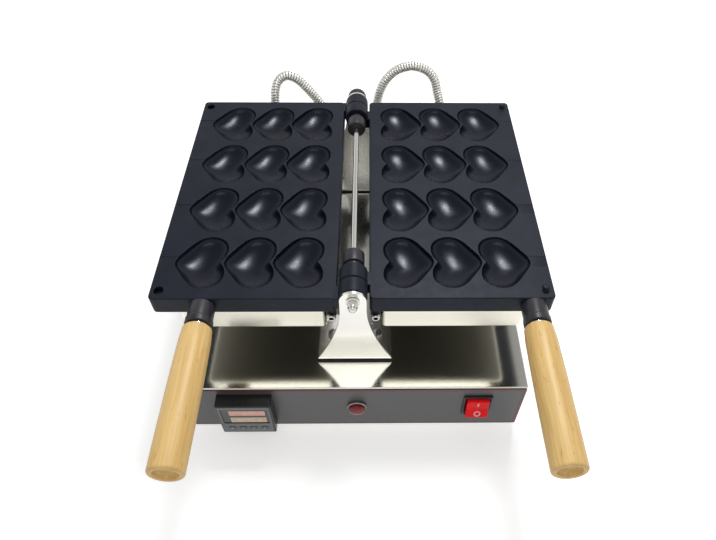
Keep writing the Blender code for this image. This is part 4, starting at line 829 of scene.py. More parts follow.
def knuckle_tool(hand, span):
    bm = bmesh.new()
    root = PLATE_INNER_X + KNUCKLE_ROOT
    eye = [
        (KNUCKLE_RADIUS * math.cos(a), KNUCKLE_RADIUS * math.sin(a))
        for a in (math.radians(75 + 195 * i / 30) for i in range(31))
    ]
    outline = eye + [(root, -KNUCKLE_RADIUS), (root, PLATE_TOP)]
    outline += [
        (KNUCKLE_RADIUS * math.cos(a), KNUCKLE_RADIUS * math.sin(a))
        for a in (math.radians(0.5 + 72 * i / 11) for i in range(12))
    ]
    extruded(bm, outline, "y", *span, edge=KNUCKLE_EDGE)
    return pan_tool("knuckle_tool", bm, hand, CAST_BLACK)


def lug_tool(hand):
    bm = bmesh.new()
    inner = COVER_INNER_X - GAP - LUG_WIDTH
    low = (inner, COVER_SETBACK, PLATE_BOTTOM - LUG_HEIGHT)
    high = (inner + LUG_WIDTH, COVER_SETBACK + LUG_LENGTH, PLATE_BOTTOM + OVERRUN)
    bar(bm, low, high, LUG_EDGE)
    return pan_tool("lug_tool", bm, hand, CAST_BLACK)


def peg_places():
    x = PLATE_OUTER_X - PEG_INSET_X
    return ((x, PEG_INSET_Y), (x, PLATE_LENGTH - PEG_INSET_Y))


def peg_tool(hand):
    """Round-tipped pegs of the right plate, or the left plate's holes for them."""
    bm = bmesh.new()
    for x, y in peg_places():
        if hand == "right":
            top = PEG_HEIGHT + PLATE_TOP
            profile = rounded([
                (0.0, -PEG_ROOT, 0), (PEG_RADIUS, -PEG_ROOT, 0), (PEG_RADIUS, top, PEG_TIP), (0.0, top, 0),
            ])
        else:
            hole, top = PEG_RADIUS + PEG_ROOM, PLATE_TOP + PEG_OVERRUN
            profile = [(0.0, -PEG_HOLE_DEPTH), (hole, -PEG_HOLE_DEPTH), (hole, PLATE_TOP - PEG_CHAMFER),
                       (hole + PEG_CHAMFER + PEG_OVERRUN, top), (0.0, top)]
        turned(bm, profile, (x, y, 0.0), (0, 0, 1), SMALL)
    return pan_tool("peg_tool", bm, hand, CAST_BLACK)


def bore_tool(hand):
    bm = bmesh.new()
    for start, end in knuckle_spans(hand):
        drill(bm, ROD_RADIUS + GAP, end - start + 2 * OVERRUN, (0.0, start - OVERRUN, 0.0), (0, 1, 0))
    return pan_tool("bore_tool", bm, hand, CAST_BLACK)


def make_plate(hand):
    bm = bmesh.new()
    outline = rectangle((PLATE_INNER_X, 0.0), (PLATE_OUTER_X, PLATE_LENGTH), PLATE_CORNER, 8)
    extruded(bm, outline, "z", PLATE_BOTTOM, PLATE_TOP, PLATE_EDGE, 4)
    plate = pan_piece("plate", "cast", bm, [CAST_BLACK, SHADED_BOWL_BLACK], hand)
    joined = [knuckle_tool(hand, span) for span in knuckle_spans(hand)] + [lug_tool(hand)]
    carved = [groove_tool(hand), cavity_tool(hand), bore_tool(hand)]
    (joined if hand == "right" else carved).append(peg_tool(hand))
    for tool in joined:
        cut(plate, tool, "UNION")
    for tool in carved:
        cut(plate, tool)
    applied(plate, joined + carved, 50)


def make_cover(hand):
    low = (COVER_INNER_X, COVER_SETBACK)
    high = (COVER_OUTER_X, PLATE_LENGTH - COVER_SETBACK)
    outer = rectangle(low, high, COVER_CORNER, 8)
    inner = grown(outer, -COVER_WALL)
    bottom = COVER_TOP - COVER_DEPTH
    rings = [(inner, bottom + COVER_WALL), (inner, COVER_TOP), (outer, COVER_TOP)]
    rings += [(grown(outer, -COVER_EDGE * rise), bottom + COVER_EDGE * fall) for rise, fall in quarter(5)]
    bm = bmesh.new()
    loft(bm, [[(x, y, z) for x, y in ring] for ring, z in rings])
    # Faces on the cover's bottom take the darker steel: painted shade under the cover
    for face in bm.faces:
        if max(vert.co.z for vert in face.verts) < bottom + 0.0002:
            face.material_index = 1
    cover = pan_piece("cover", "tray", bm, [COVER_STEEL, SHADED_COVER_UNDER], hand)
    bm = bmesh.new()
    x = HANDLE_X[hand]
    if x + SOCKET_ROOM < high[0] - COVER_CORNER:
        bar(bm, (x - SOCKET_ROOM, low[1] - OVERRUN, COVER_TOP - SOCKET_ROOM),
            (x + SOCKET_ROOM, low[1] + 3 * COVER_WALL, COVER_TOP + 2 * OVERRUN), 0.001)
    drill(bm, ELBOW_STEM + GAP, 0.008, (ELBOW_X[hand], high[1] - 0.005, ELBOW_Z), (0, 1, 0))
    tool = pan_tool("cover_tool", bm, hand, COVER_STEEL)
    cut(cover, tool, own=True)
    applied(cover, [tool], 40)


def make_handle(hand):
    x = HANDLE_X[hand]
    hole = BOLT_HOLE
    away = (0, -1, 0)
    bm = bmesh.new()
    turned(bm, rounded([
        (hole, 0.0, 0), (0.0102, 0.0, 0.0008), (0.0102, 0.0138, 0.0006), (SOCKET_RADIUS, 0.0146, 0.0006),
        (SOCKET_RADIUS, SOCKET_LENGTH, 0.0009), (hole, SOCKET_LENGTH, 0),
    ]), (x, -GAP, HANDLE_Z), away, FINE)
    pan_piece("handle_socket", "sleeve", bm, [BLACKENED], hand)

    start = -GAP - SOCKET_LENGTH - GAP
    bm = bmesh.new()
    turned(bm, rounded([
        (hole, 0.0, 0), (WASHER_RADIUS, 0.0, 0.0004), (WASHER_RADIUS, WASHER_THICKNESS, 0.0004),
        (hole, WASHER_THICKNESS, 0),
    ], 3), (x, start, HANDLE_Z), away, FINE)
    pan_piece("handle_washer", "ring", bm, [BRIGHT_STEEL], hand)

    start -= WASHER_THICKNESS + GAP
    dish = GRIP_LENGTH - GRIP_DISH
    blind = BOLT_REACH + GAP
    bm = bmesh.new()
    turned(bm, rounded([
        (0.0, blind, 0), (hole, blind, 0), (hole, 0.0, 0), (0.0112, 0.0, 0.0016), (0.0121, 0.012, 0.02),
        (0.0126, 0.045, 0.2), (0.0127, 0.080, 0.2), (0.0126, GRIP_LENGTH, 0.0022),
        (0.0087, GRIP_LENGTH, 0.0012), (0.0078, dish, 0.0024), (0.0, dish, 0),
    ], 7), (x, start, HANDLE_Z), away, FINE)
    pan_piece("wood_grip", "turned", bm, [WOOD], hand)

    bm = bmesh.new()
    shank = -start + BOLT_START + BOLT_REACH
    turned(bm, rounded([
        (0.0, 0.0, 0), (BOLT_RADIUS, 0.0, 0.0005), (BOLT_RADIUS, shank, 0.0005), (0.0, shank, 0),
    ]), (x, BOLT_START, HANDLE_Z), away, ROUND)
    pan_piece("handle_bolt", "screw", bm, [BRIGHT_STEEL], hand)


def make_cover_bolt(hand):
    """Ring-headed bolt with a recess, in the plate's lug; the recess is painted dark as shade."""
    x = COVER_INNER_X - GAP - LUG_WIDTH / 2
    z = PLATE_BOTTOM - 0.0075
    head = 0.0026
    bm = bmesh.new()
    turned(bm, rounded([
        (0.0, -0.0009, 0), (0.0017, -0.0009 + 0.0006, 0.0), (0.0021, -head, 0.0004),
        (0.0030, -head, 0.0006),
        (0.0034, -0.0012, 0.0005), (0.0034, 0.0, 0.0), (0.002, 0.0, 0), (0.002, LUG_LENGTH, 0),
        (0.0, LUG_LENGTH, 0),
    ]), (x, COVER_SETBACK - GAP, z), (0, 1, 0), ROUND)
    # Faces inside the recess take blackened steel: painted shade in the hollow
    for face in bm.faces:
        spot = face.calc_center_median()
        if spot.y < COVER_SETBACK - GAP and math.hypot(spot.x - x, spot.z - z) < 0.0019:
            face.material_index = 1
    pan_piece("cover_bolt", "head", bm, [BRIGHT_STEEL, BLACKENED], hand)


def make_elbow(hand):
    x = ELBOW_X[hand]
    wall = PLATE_LENGTH - COVER_SETBACK
    z = ELBOW_Z
    centre = PLATE_LENGTH + END_BACK
    mouth = ELBOW_MOUTH
    bm = bmesh.new()
    reach = centre - wall
    turned(bm, rounded([
        (0.0, -0.0016, 0), (ELBOW_STEM, -0.0016, 0), (ELBOW_STEM, GAP, 0), (0.0088, GAP, 0.0005),
        (0.0088, 0.0050, 0.0006),
        (0.0064, 0.0058, 0.0003), (0.0064, reach, 0), (0.0, reach, 0),
    ]), (x, wall, z), (0, 1, 0), FINE, flats=0.0152, span=(0.0004, 0.0052))
    elbow = pan_piece("conduit_elbow", "fitting", bm, [NICKEL], hand)
    bm = bmesh.new()
    tall = mouth - z + RISER_RADIUS
    turned(bm, rounded([
        (0.0, 0.0, 0), (0.0070, 0.0, 0.0030), (0.0070, tall - 0.0062, 0.0003),
        (RISER_RADIUS, tall - 0.0058, 0.0003), (RISER_RADIUS, tall, 0.0006), (0.0040, tall, 0.0003),
        (0.0040, tall - 0.010, 0), (0.0, tall - 0.010, 0),
    ]), (x, centre, z - RISER_RADIUS), (0, 0, 1), FINE)
    riser = pan_tool("riser_tool", bm, hand, NICKEL)
    cut(elbow, riser, "UNION")
    applied(elbow, [riser])


def spline_point(before, start, end, after, share):
    square = share * share
    cube = square * share
    weights = (
        (-cube + 2 * square - share) / 2, (3 * cube - 5 * square + 2) / 2,
        (-3 * cube + 4 * square + share) / 2, (cube - square) / 2,
    )
    return sum((p * w for p, w in zip((before, start, end, after), weights)), Vector())


def smooth_route(points, steps=24):
    held = [points[0] * 2 - points[1], *points, points[-1] * 2 - points[-2]]
    route = []
    for i in range(len(points) - 1):
        route += [spline_point(*held[i:i + 4], step / steps) for step in range(steps)]
    return route + [points[-1]]


def make_conduit(hand):
    """Strip-wound hose from the base's gland to the pan's elbow."""
    side = 1 if hand == "right" else -1
    seat = BASE_TOP + GLAND_HEIGHT + 2 * GAP
    mouth = MOUTH_Z + GAP
    up = Vector((0.0, 0.0, CONDUIT_RADIUS))
    start = Vector((side * ELBOW_X[hand], PLATE_LENGTH + END_BACK, mouth))
    end = Vector((side * GLAND_X, PLATE_LENGTH + END_BACK, seat))
    points = []
    for across, lean, rise, above in CONDUIT_ROUTES[hand]:
        spot = end.lerp(start, across)
        height = seat + rise * (mouth - seat) + above * CONDUIT_ARCH
        points.append(Vector((spot.x, spot.y + lean * CONDUIT_LEAN, height)))
    inside = Vector((0.0, 0.0, 0.004))
    fine = smooth_route([start + up, *points, end + up])
    route = [start - inside, start, *fine, end, end - inside]
    length = even_points(route, 1)[1]
    ribs = round(length / RIB_PITCH)
    spots = even_points(route, ribs * RIB_ROWS)[0]
    sides = 32
    bm = bmesh.new()
    rows = []
    across = Vector((1.0, 0.0, 0.0))
    for i, spot in enumerate(spots):
        along = (spots[min(i + 1, len(spots) - 1)] - spots[max(i - 1, 0)]).normalized()
        across = (across - along * across.dot(along)).normalized()
        third = along.cross(across)
        ring = []
        for k in range(sides):
            angle = 2 * math.pi * k / sides
            phase = (i / RIB_ROWS - k / sides) % 1.0
            crown = min(1.0, 3.4 * min(phase, 1 - phase))
            radius = CONDUIT_RADIUS * (0.80 + 0.20 * math.sqrt(max(0.0, 1 - (1 - crown) ** 2)))
            radius = min(radius, 0.0038) if i < 2 or i > len(spots) - 3 else radius
            ring.append(bm.verts.new(spot + (across * math.cos(angle) + third * math.sin(angle)) * radius))
        rows.append(ring)
    for i, (low, high) in enumerate(zip(rows, rows[1:])):
        for k in range(sides):
            j = (k + 1) % sides
            made = bm.faces.new((low[k], low[j], high[j], high[k]))
            # Faces near the rib valleys take the darker steel: painted shade in the creases
            phase = ((i + 0.5) / RIB_ROWS - (k + 0.5) / sides) % 1.0
            made.material_index = 1 if min(phase, 1 - phase) < 0.12 else 0
    bm.faces.new(rows[0])
    bm.faces.new(rows[-1])
    shift = Vector((0.0, FRONT_Y, FOOT_HEIGHT))
    bmesh.ops.translate(bm, vec=shift, verts=bm.verts)
    hose = new_object(hand + "_conduit_hose", bm, [CONDUIT_STEEL, SHADED_CONDUIT_VALLEY], sharp=60.0)
    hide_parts(hand + "_conduit")
    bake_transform(hose)


def flare(share):
    """Widening of the bracket's side at a share of the way down from its eye."""
    return max(0.0, (share - FLARE_START) / (1 - FLARE_START)) ** FLARE_POWER


def bracket_path():
    """The bent sheet's line: (distance inwards, height, half width, inward and upward normal)."""
    neck, foot = BRACKET_NECK, BRACKET_FOOT
    bottom = SEAT_TOP
    corner, bend = BRACKET_CORNER, BRACKET_BEND
    rows = [(BRACKET_REACH - corner * rise, bottom, foot - corner * fall, (0.0, 1.0))
            for rise, fall in quarter(5)]
    rows.append((BRACKET_REACH / 2, bottom, foot, (0.0, 1.0)))
    rows += [(bend * fall, bottom + bend * rise, foot, (1 - fall, 1 - rise)) for rise, fall in quarter(5)]
    low = bottom + bend
    tall = HINGE_HEIGHT - low
    for k in range(1, 33):
        share = 1 - k / 32
        rows.append((0.0, low + tall * (1 - share), neck + (foot - neck) * flare(share), (1.0, 0.0)))
    for k in range(1, 19):
        angle = math.pi / 2 * k / 18
        rows.append((0.0, HINGE_HEIGHT + neck * math.sin(angle), max(neck * math.cos(angle), 0.0002),
                     (1.0, 0.0)))
    return rows


def make_bracket(name, face, inward):
    thick = BRACKET_SHEET
    columns = [math.sin(math.pi / 2 * c / 5) for c in range(-5, 6)]
    bm = bmesh.new()
    outer, inner = [], []
    for y, z, width, (ny, nz) in bracket_path():
        outer.append([bm.verts.new((c * width, face + inward * y, z)) for c in columns])
        inner.append([
            bm.verts.new((c * width, face + inward * (y + ny * thick), z + nz * thick)) for c in columns
        ])
    last = len(columns) - 1
    for i in range(len(outer) - 1):
        for c in range(last):
            bm.faces.new((outer[i][c], outer[i][c + 1], outer[i + 1][c + 1], outer[i + 1][c]))
            bm.faces.new((inner[i][c], inner[i + 1][c], inner[i + 1][c + 1], inner[i][c + 1]))
        for c in (0, last):
            bm.faces.new((outer[i][c], outer[i + 1][c], inner[i + 1][c], inner[i][c]))
    for i in (0, -1):
        for c in range(last):
            bm.faces.new((outer[i][c], outer[i][c + 1], inner[i][c + 1], inner[i][c]))
    bracket = base_piece(name + "_sheet", bm, [BRACKET_STEEL], "stainless", name)
    bevel = bracket.modifiers.new("edge", "BEVEL")
    bevel.width = 0.0003
    bevel.segments = 2
    bevel.limit_method = "ANGLE"
    bevel.angle_limit = math.radians(50)
    applied(bracket, [])
    for x, side in ((-BRACKET_BOLT_X, "left"), (BRACKET_BOLT_X, "right")):
        bm = bmesh.new()
        seat = SEAT_TOP + thick + GAP
        place = (x, face + inward * BRACKET_BOLT_Y, 0.0)
        turned(bm, rounded([
            (0.0, seat - 0.010, 0), (0.0025, seat - 0.010, 0.0004), (0.0025, seat, 0),
            (0.0045, seat, 0.0002), (0.0045, seat + 0.0005, 0.0004), (0.0045, seat + 0.0028, 0.0006),
            (0.0, seat + 0.0028, 0),
        ]), place, (0, 0, 1), ROUND, flats=0.0078, span=(seat + 0.0001, seat + 0.01))
        bolt = f"{name}_bolt_{side}"
        base_piece(bolt + "_head", bm, [BRIGHT_STEEL], "bright_steel", bolt)
    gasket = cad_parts[name + "_gasket"]
    gasket.data.materials[0] = RUBBER


def make_hinge_line():
    front, rear = BRACKET_FRONT, BRACKET_REAR
    z = HINGE_HEIGHT
    bore = ROD_RADIUS + GAP
    low, high = front - ROD_END, rear + ROD_END
    bm = bmesh.new()
    turned(bm, [(0.0, 0.0), (ROD_RADIUS, 0.0), (ROD_RADIUS, high - low), (0.0, high - low)],
           (0.0, low, z), (0, 1, 0), ROUND)
    base_piece("hinge_rod_bar", bm, [BRIGHT_STEEL], "bright_steel", "hinge_rod")

    bm = bmesh.new()
    dome = [(0.0037 * math.cos(a),
             0.0060 + 0.0040 * math.sin(a)) for a in (math.radians(9 * k) for k in range(10))]
    turned(bm, [
        (0.0, 0.0063), (bore, 0.0063), (bore, 0.0), (0.0052, 0.0), (0.0054, 0.0002), (0.0054, 0.0008),
        (0.0051, 0.0010), (0.0047, 0.0011), (0.0047, 0.0050), (0.0041, 0.0056), *dome, (0.0, 0.0100),
    ], (0.0, front - GAP, z), (0, -1, 0), FINE, flats=0.008, span=(0.00105, 0.0057))
    base_piece("front_acorn_nut_dome", bm, [BRIGHT_STEEL], "bright_steel", "front_acorn_nut")

    bm = bmesh.new()
    turned(bm, rounded([
        (0.0, 0.0063, 0), (bore, 0.0063, 0), (bore, 0.0, 0), (0.0095, 0.0, 0.0004),
        (0.0095, 0.0032, 0.0003), (0.0090, 0.0037, 0.0003), (0.0090, 0.0044, 0.0003),
        (0.0095, 0.0049, 0.0003), (0.0095, 0.0120, 0.0045), (0.0, 0.0120, 0),
    ], 6), (0.0, rear + GAP, z), (0, 1, 0), FINE)
    base_piece("rear_cap_nut_dome", bm, [BLACKENED], "blackened_steel", "rear_cap_nut")

    spans = knuckle_spans("right")
    for name, start, toward in (("front_collar", spans[0][1] + GAP, 1),
                                ("rear_collar", spans[1][0] - GAP, -1)):
        bm = bmesh.new()
        turned(bm, rounded([
            (bore, 0.0, 0), (0.0070, 0.0, 0.0003), (0.0070, 0.0050, 0.0004), (0.0090, 0.0050, 0.0008),
            (0.0090, 0.0180, 0.0014), (bore, 0.0180, 0.0004),
        ]), (0.0, start, z), (0, toward, 0), FINE)
        base_piece(name + "_ring", bm, [BLACKENED], "blackened_steel", name)


def panel_hole(bm, x, z, half_x, half_z, front, back, radius):
    outline = rectangle((x - half_x, z - half_z), (x + half_x, z + half_z), radius, 3)
    extruded(bm, outline, "y", front, back)


def panel_tool(front, back):
    """The front panel's three openings between two depths, in base places."""
    bm = bmesh.new()
    half = CONTROLLER_BODY + GAP
    panel_hole(bm, CONTROLLER_X, PANEL_ROW, half, half, front, back, 0.001)
    panel_hole(bm, SWITCH_X, SWITCH_Z, SWITCH_BODY[0] + GAP, SWITCH_BODY[1] + GAP, front, back, 0.001)
    drill(bm, LAMP_BARREL + GAP, back - front, (LAMP_X, front, LAMP_Z), (0, 1, 0))
    return base_tool("panel_tool", bm, [BASE_STEEL])


def make_base_box():
    outer = rectangle((-BASE_HALF, BASE_FRONT), (BASE_HALF, BASE_REAR), BASE_CORNER, 6)
    inner = grown(outer, -BASE_SHEET)
    rings = [(inner, BASE_TOP - BASE_SHEET), (inner, 0.0), (outer, 0.0)]
    rings += [(grown(outer, -BASE_SHEET * rise), BASE_TOP - BASE_SHEET * fall) for rise, fall in quarter(4)]
    bm = bmesh.new()
    loft(bm, [[(x, y, z) for x, y in ring] for ring, z in rings])
    shell = base_piece("base_shell_box", bm, [BASE_STEEL], "stainless", "base_shell")
    tools = [panel_tool(BASE_FRONT - OVERRUN, BASE_FRONT + 0.003)]
    bm = bmesh.new()
    for x in (-GLAND_X, GLAND_X):
        drill(bm, GLAND_STEM + GAP, 0.005, (x, PLATE_LENGTH + END_BACK, BASE_TOP - 0.003), (0, 0, 1))
    drill(bm, INLET_STEM + GAP, 0.006, (INLET_X, BASE_REAR - 0.004, PANEL_ROW), (0, 1, 0))
    tools.append(base_tool("sheet_tool", bm, [BASE_STEEL]))
    for tool in tools:
        cut(shell, tool)
    applied(shell, tools, 40)

    reach = BASE_HALF - FILM_SIDE
    back = BASE_FRONT - GAP
    bm = bmesh.new()
    outer, inner = (
        rectangle((-reach + inset, FILM_LOW + inset), (reach - inset, FILM_HIGH - inset), FILM_CORNER, 4)
        for inset in (0.0, FILM_BORDER)
    )
    rows = [[bm.verts.new((x, y, z)) for x, z in ring] for ring, y in ((outer, back), (outer, FILM_FACE),
                                                                       (inner, FILM_FACE))]
    count = len(outer)
    for a, b in zip(rows, rows[1:]):
        for i in range(count):
            j = (i + 1) % count
            bm.faces.new((a[i], a[j], b[j], b[i])).material_index = 1
    bm.faces.new(rows[0]).material_index = 1
    bm.faces.new(rows[-1])
    film = base_piece("front_panel_sheet", bm, [PANEL_FILM, BORDER_FILM], "grey_film", "front_panel_film")
    tool = panel_tool(FILM_FACE - OVERRUN, back + OVERRUN)
    cut(film, tool)
    applied(film, [tool], 40)


def make_feet():
    for row, y in (("front", BASE_FRONT + FOOT_INSET), ("rear", BASE_REAR - FOOT_INSET)):
        for column, x in (("left", FOOT_INSET - BASE_HALF), ("right", BASE_HALF - FOOT_INSET)):
            bm = bmesh.new()
            turned(bm, rounded([
                (0.0, -0.0085, 0), (0.0034, -0.0085, 0.0003), (0.0034, -FOOT_HEIGHT, 0.0006),
                (FOOT_TIP, -FOOT_HEIGHT, 0.0012), (FOOT_RADIUS, -0.0022, 0.0010),
                (FOOT_RADIUS, -GAP, 0.0006),
                (0.0, -GAP, 0),
            ]), (x, y, 0.0), (0, 0, 1), FINE)
            name = f"foot_{row}_{column}"
            base_piece(name + "_rubber", bm, [RUBBER], "rubber", name)


SEGMENTS = {
    "a": ((0, 2), (1, 2)), "b": ((1, 2), (1, 1)), "c": ((1, 1), (1, 0)), "d": ((0, 0), (1, 0)),
    "e": ((0, 0), (0, 1)), "f": ((0, 1), (0, 2)), "g": ((0, 1), (1, 1)),
}
DIGITS = {"0": "abcdef", "1": "bc", "2": "abged", "5": "afgcd", "8": "abcdefg"}


def add_digits(bm, text, x, z, height, front, deep):
    """Seven-segment numbers as thin bars; x, z is the lower left corner."""
    cell = height / 2
    for i, letter in enumerate(text):
        left = x + i * cell * 1.55
        for key in DIGITS.get(letter, ""):
            (c0, r0), (c1, r1) = SEGMENTS[key]
            one = Vector((left + (c0 + 0.1 * r0) * cell, z + r0 * cell))
            two = Vector((left + (c1 + 0.1 * r1) * cell, z + r1 * cell))
            along = (two - one).normalized()
            across = Vector((-along.y, along.x)) * height * 0.055
            trim = along * height * 0.03
            tip = along * height * 0.06
            outline = [one + trim, one + trim + tip - across, two - trim - tip - across, two - trim,
                       two - trim - tip + across, one + trim + tip + across]
            loft(bm, [[(p.x, y, p.y) for p in outline] for y in (front, front + deep)])


def make_controller():
    x, z = CONTROLLER_X, PANEL_ROW
    half = CONTROLLER_HALF
    face = PANEL_FACE - CONTROLLER_PROUD
    skin = 0.0002
    outline = rectangle((x - half, z - half), (x + half, z + half), 0.0015, 5)
    bm = bmesh.new()
    extruded(bm, outline, "y", face + skin, PANEL_FACE, 0.0012, 4, ends=(True, False))
    housing = base_piece("controller_housing_case", bm, [BLACK_PLASTIC], "black_plastic",
                         "controller_housing")
    bm = bmesh.new()
    body = rectangle((x - CONTROLLER_BODY, z - CONTROLLER_BODY), (x + CONTROLLER_BODY, z + CONTROLLER_BODY),
                     0.0008, 3)
    extruded(bm, body, "y", PANEL_FACE - 0.0005, PANEL_FACE + CONTROLLER_LENGTH, 0.0006, 2)
    joined = base_tool("body_tool", bm, [BLACK_PLASTIC])
    cut(housing, joined, "UNION")
    rise = WINDOW_RISE
    recess = WINDOW_RECESS

    def openings(front, back_window, back_key, name):
        made = bmesh.new()
        panel_hole(made, x, z + rise, WINDOW_HALF_X + GAP, WINDOW_HALF_Z + GAP, front, back_window, 0.0008)
        for i in range(4):
            panel_hole(made, x + (i - 1.5) * KEY_STEP, z - KEY_DROP, KEY_HALF_X + GAP, KEY_HALF_Z + GAP,
                       front, back_key, 0.0008)
        return base_tool(name, made, [BLACK_PLASTIC])

    carved = openings(face - OVERRUN, face + recess, face + 0.0020, "recess_tool")
    cut(housing, carved)
    applied(housing, [joined, carved], 40)

    bm = bmesh.new()
    sheet = rectangle((x - half + 0.0017, z - half + 0.0017), (x + half - 0.0017, z + half - 0.0017),
                      0.0012, 4)
    extruded(bm, sheet, "y", face, face + skin + 0.0001)
    overlay = base_piece("controller_face_sheet", bm, [FACE_PLASTIC], "black_plastic")
    carved = openings(face - OVERRUN, face + OVERRUN, face + OVERRUN, "face_tool")
    cut(overlay, carved)
    applied(overlay, [carved], 40)

    back = face + recess - GAP
    bm = bmesh.new()
    pane = rectangle((x - WINDOW_HALF_X, z + rise - WINDOW_HALF_Z),
                     (x + WINDOW_HALF_X, z + rise + WINDOW_HALF_Z), 0.0007, 3)
    extruded(bm, pane, "y", back - 0.0005, back, 0.0001, 1, ends=(True, False))
    base_piece("controller_window_pane", bm, [WINDOW_DARK], "window", "controller_window")
    for name, low, high, finish in (
        ("display_upper", 0.0011, 0.0092, DISPLAY_TOP), ("display_lower", -0.0110, -0.0022, DISPLAY_LOW),
    ):
        bm = bmesh.new()
        row = rectangle((x - 0.0135, z + rise + low), (x + 0.0180, z + rise + high), 0.0006, 3)
        extruded(bm, row, "y", back - 0.0007, back - 0.0004, 0.0001, 1, ends=(True, False))
        base_piece("controller_" + name, bm, [finish], "window")
        bm = bmesh.new()
        tall = (high - low) * 0.66
        add_digits(bm, "180", x - 0.0035 if low > 0 else x - 0.0050, z + rise + low + (high - low) * 0.18,
                   tall, back - 0.0008, 0.0002)
        base_piece(f"controller_{name}_digits", bm, [DIGIT], "window")

    for i in range(4):
        key_x, key_z = x + (i - 1.5) * KEY_STEP, z - KEY_DROP
        front = face - 0.0007
        bm = bmesh.new()
        outline = rectangle((key_x - KEY_HALF_X, key_z - KEY_HALF_Z),
                            (key_x + KEY_HALF_X, key_z + KEY_HALF_Z), 0.0007, 4)
        extruded(bm, outline, "y", front + 0.0001, front + 0.0016, 0.0004, 3, ends=(True, False))
        known = set(bm.faces)
        if i == 0:
            mark = [(key_x + 0.0011 * math.cos(a), key_z + 0.0011 * math.sin(a)) for a in
                    (math.pi * 2 * k / 20 for k in range(20))]
        else:
            turn = (math.pi, -math.pi / 2, math.pi / 2)[i - 1]
            mark = [(key_x + 0.0013 * math.cos(turn + a), key_z + 0.0013 * math.sin(turn + a))
                    for a in (0.0, math.pi * 2 / 3, math.pi * 4 / 3)]
        extruded(bm, mark, "y", front, front + 0.0002)
        for made in bm.faces:
            if made not in known:
                made.material_index = 1
        name = f"controller_key_{i + 1}"
        base_piece(name + "_cap", bm, [KEY_RUBBER, PALE_MARK], "rubber", name, body=f"key_{i + 1}")


def make_lamp():
    bm = bmesh.new()
    turned(bm, rounded([
        (0.0, -0.0021, 0), (LENS_STEM + GAP, -0.0021, 0), (LENS_STEM + GAP, LAMP_RING_DEPTH, 0.0002),
        (0.0074, LAMP_RING_DEPTH, 0.0002), (0.0077, 0.0017, 0.0002), (0.0080, LAMP_RING_DEPTH, 0.0003),
        (LAMP_RING_RADIUS, 0.0020, 0.0007), (LAMP_RING_RADIUS, 0.0, 0.0002), (LAMP_BARREL, 0.0, 0),
        (LAMP_BARREL, -LAMP_LENGTH, 0.0005), (0.0, -LAMP_LENGTH, 0),
    ]), (LAMP_X, PANEL_FACE, LAMP_Z), (0, -1, 0), FINE)
    base_piece("lamp_bezel_ring", bm, [LAMP_STEEL], "bright_steel", "lamp_bezel")
    bm = bmesh.new()
    seat = PANEL_FACE - LAMP_RING_DEPTH - GAP
    arc = [math.radians(6 * k) for k in range(15)]
    tall = LENS_DEPTH - LENS_SIDE
    dome = [(LENS_RADIUS * math.cos(a), LENS_SIDE + tall * math.sin(a)) for a in arc]
    turned(bm, [
        (0.0, -0.0040), (LENS_STEM, -0.0040), (LENS_STEM, 0.0), (LENS_RADIUS - 0.0002, 0.0),
        (LENS_RADIUS, 0.0002), *dome, (0.0, LENS_DEPTH),
    ], (LAMP_X, seat, LAMP_Z), (0, -1, 0), FINE)
    base_piece("lamp_lens_dome", bm, [RED_LENS], "red_lens", "lamp_lens")


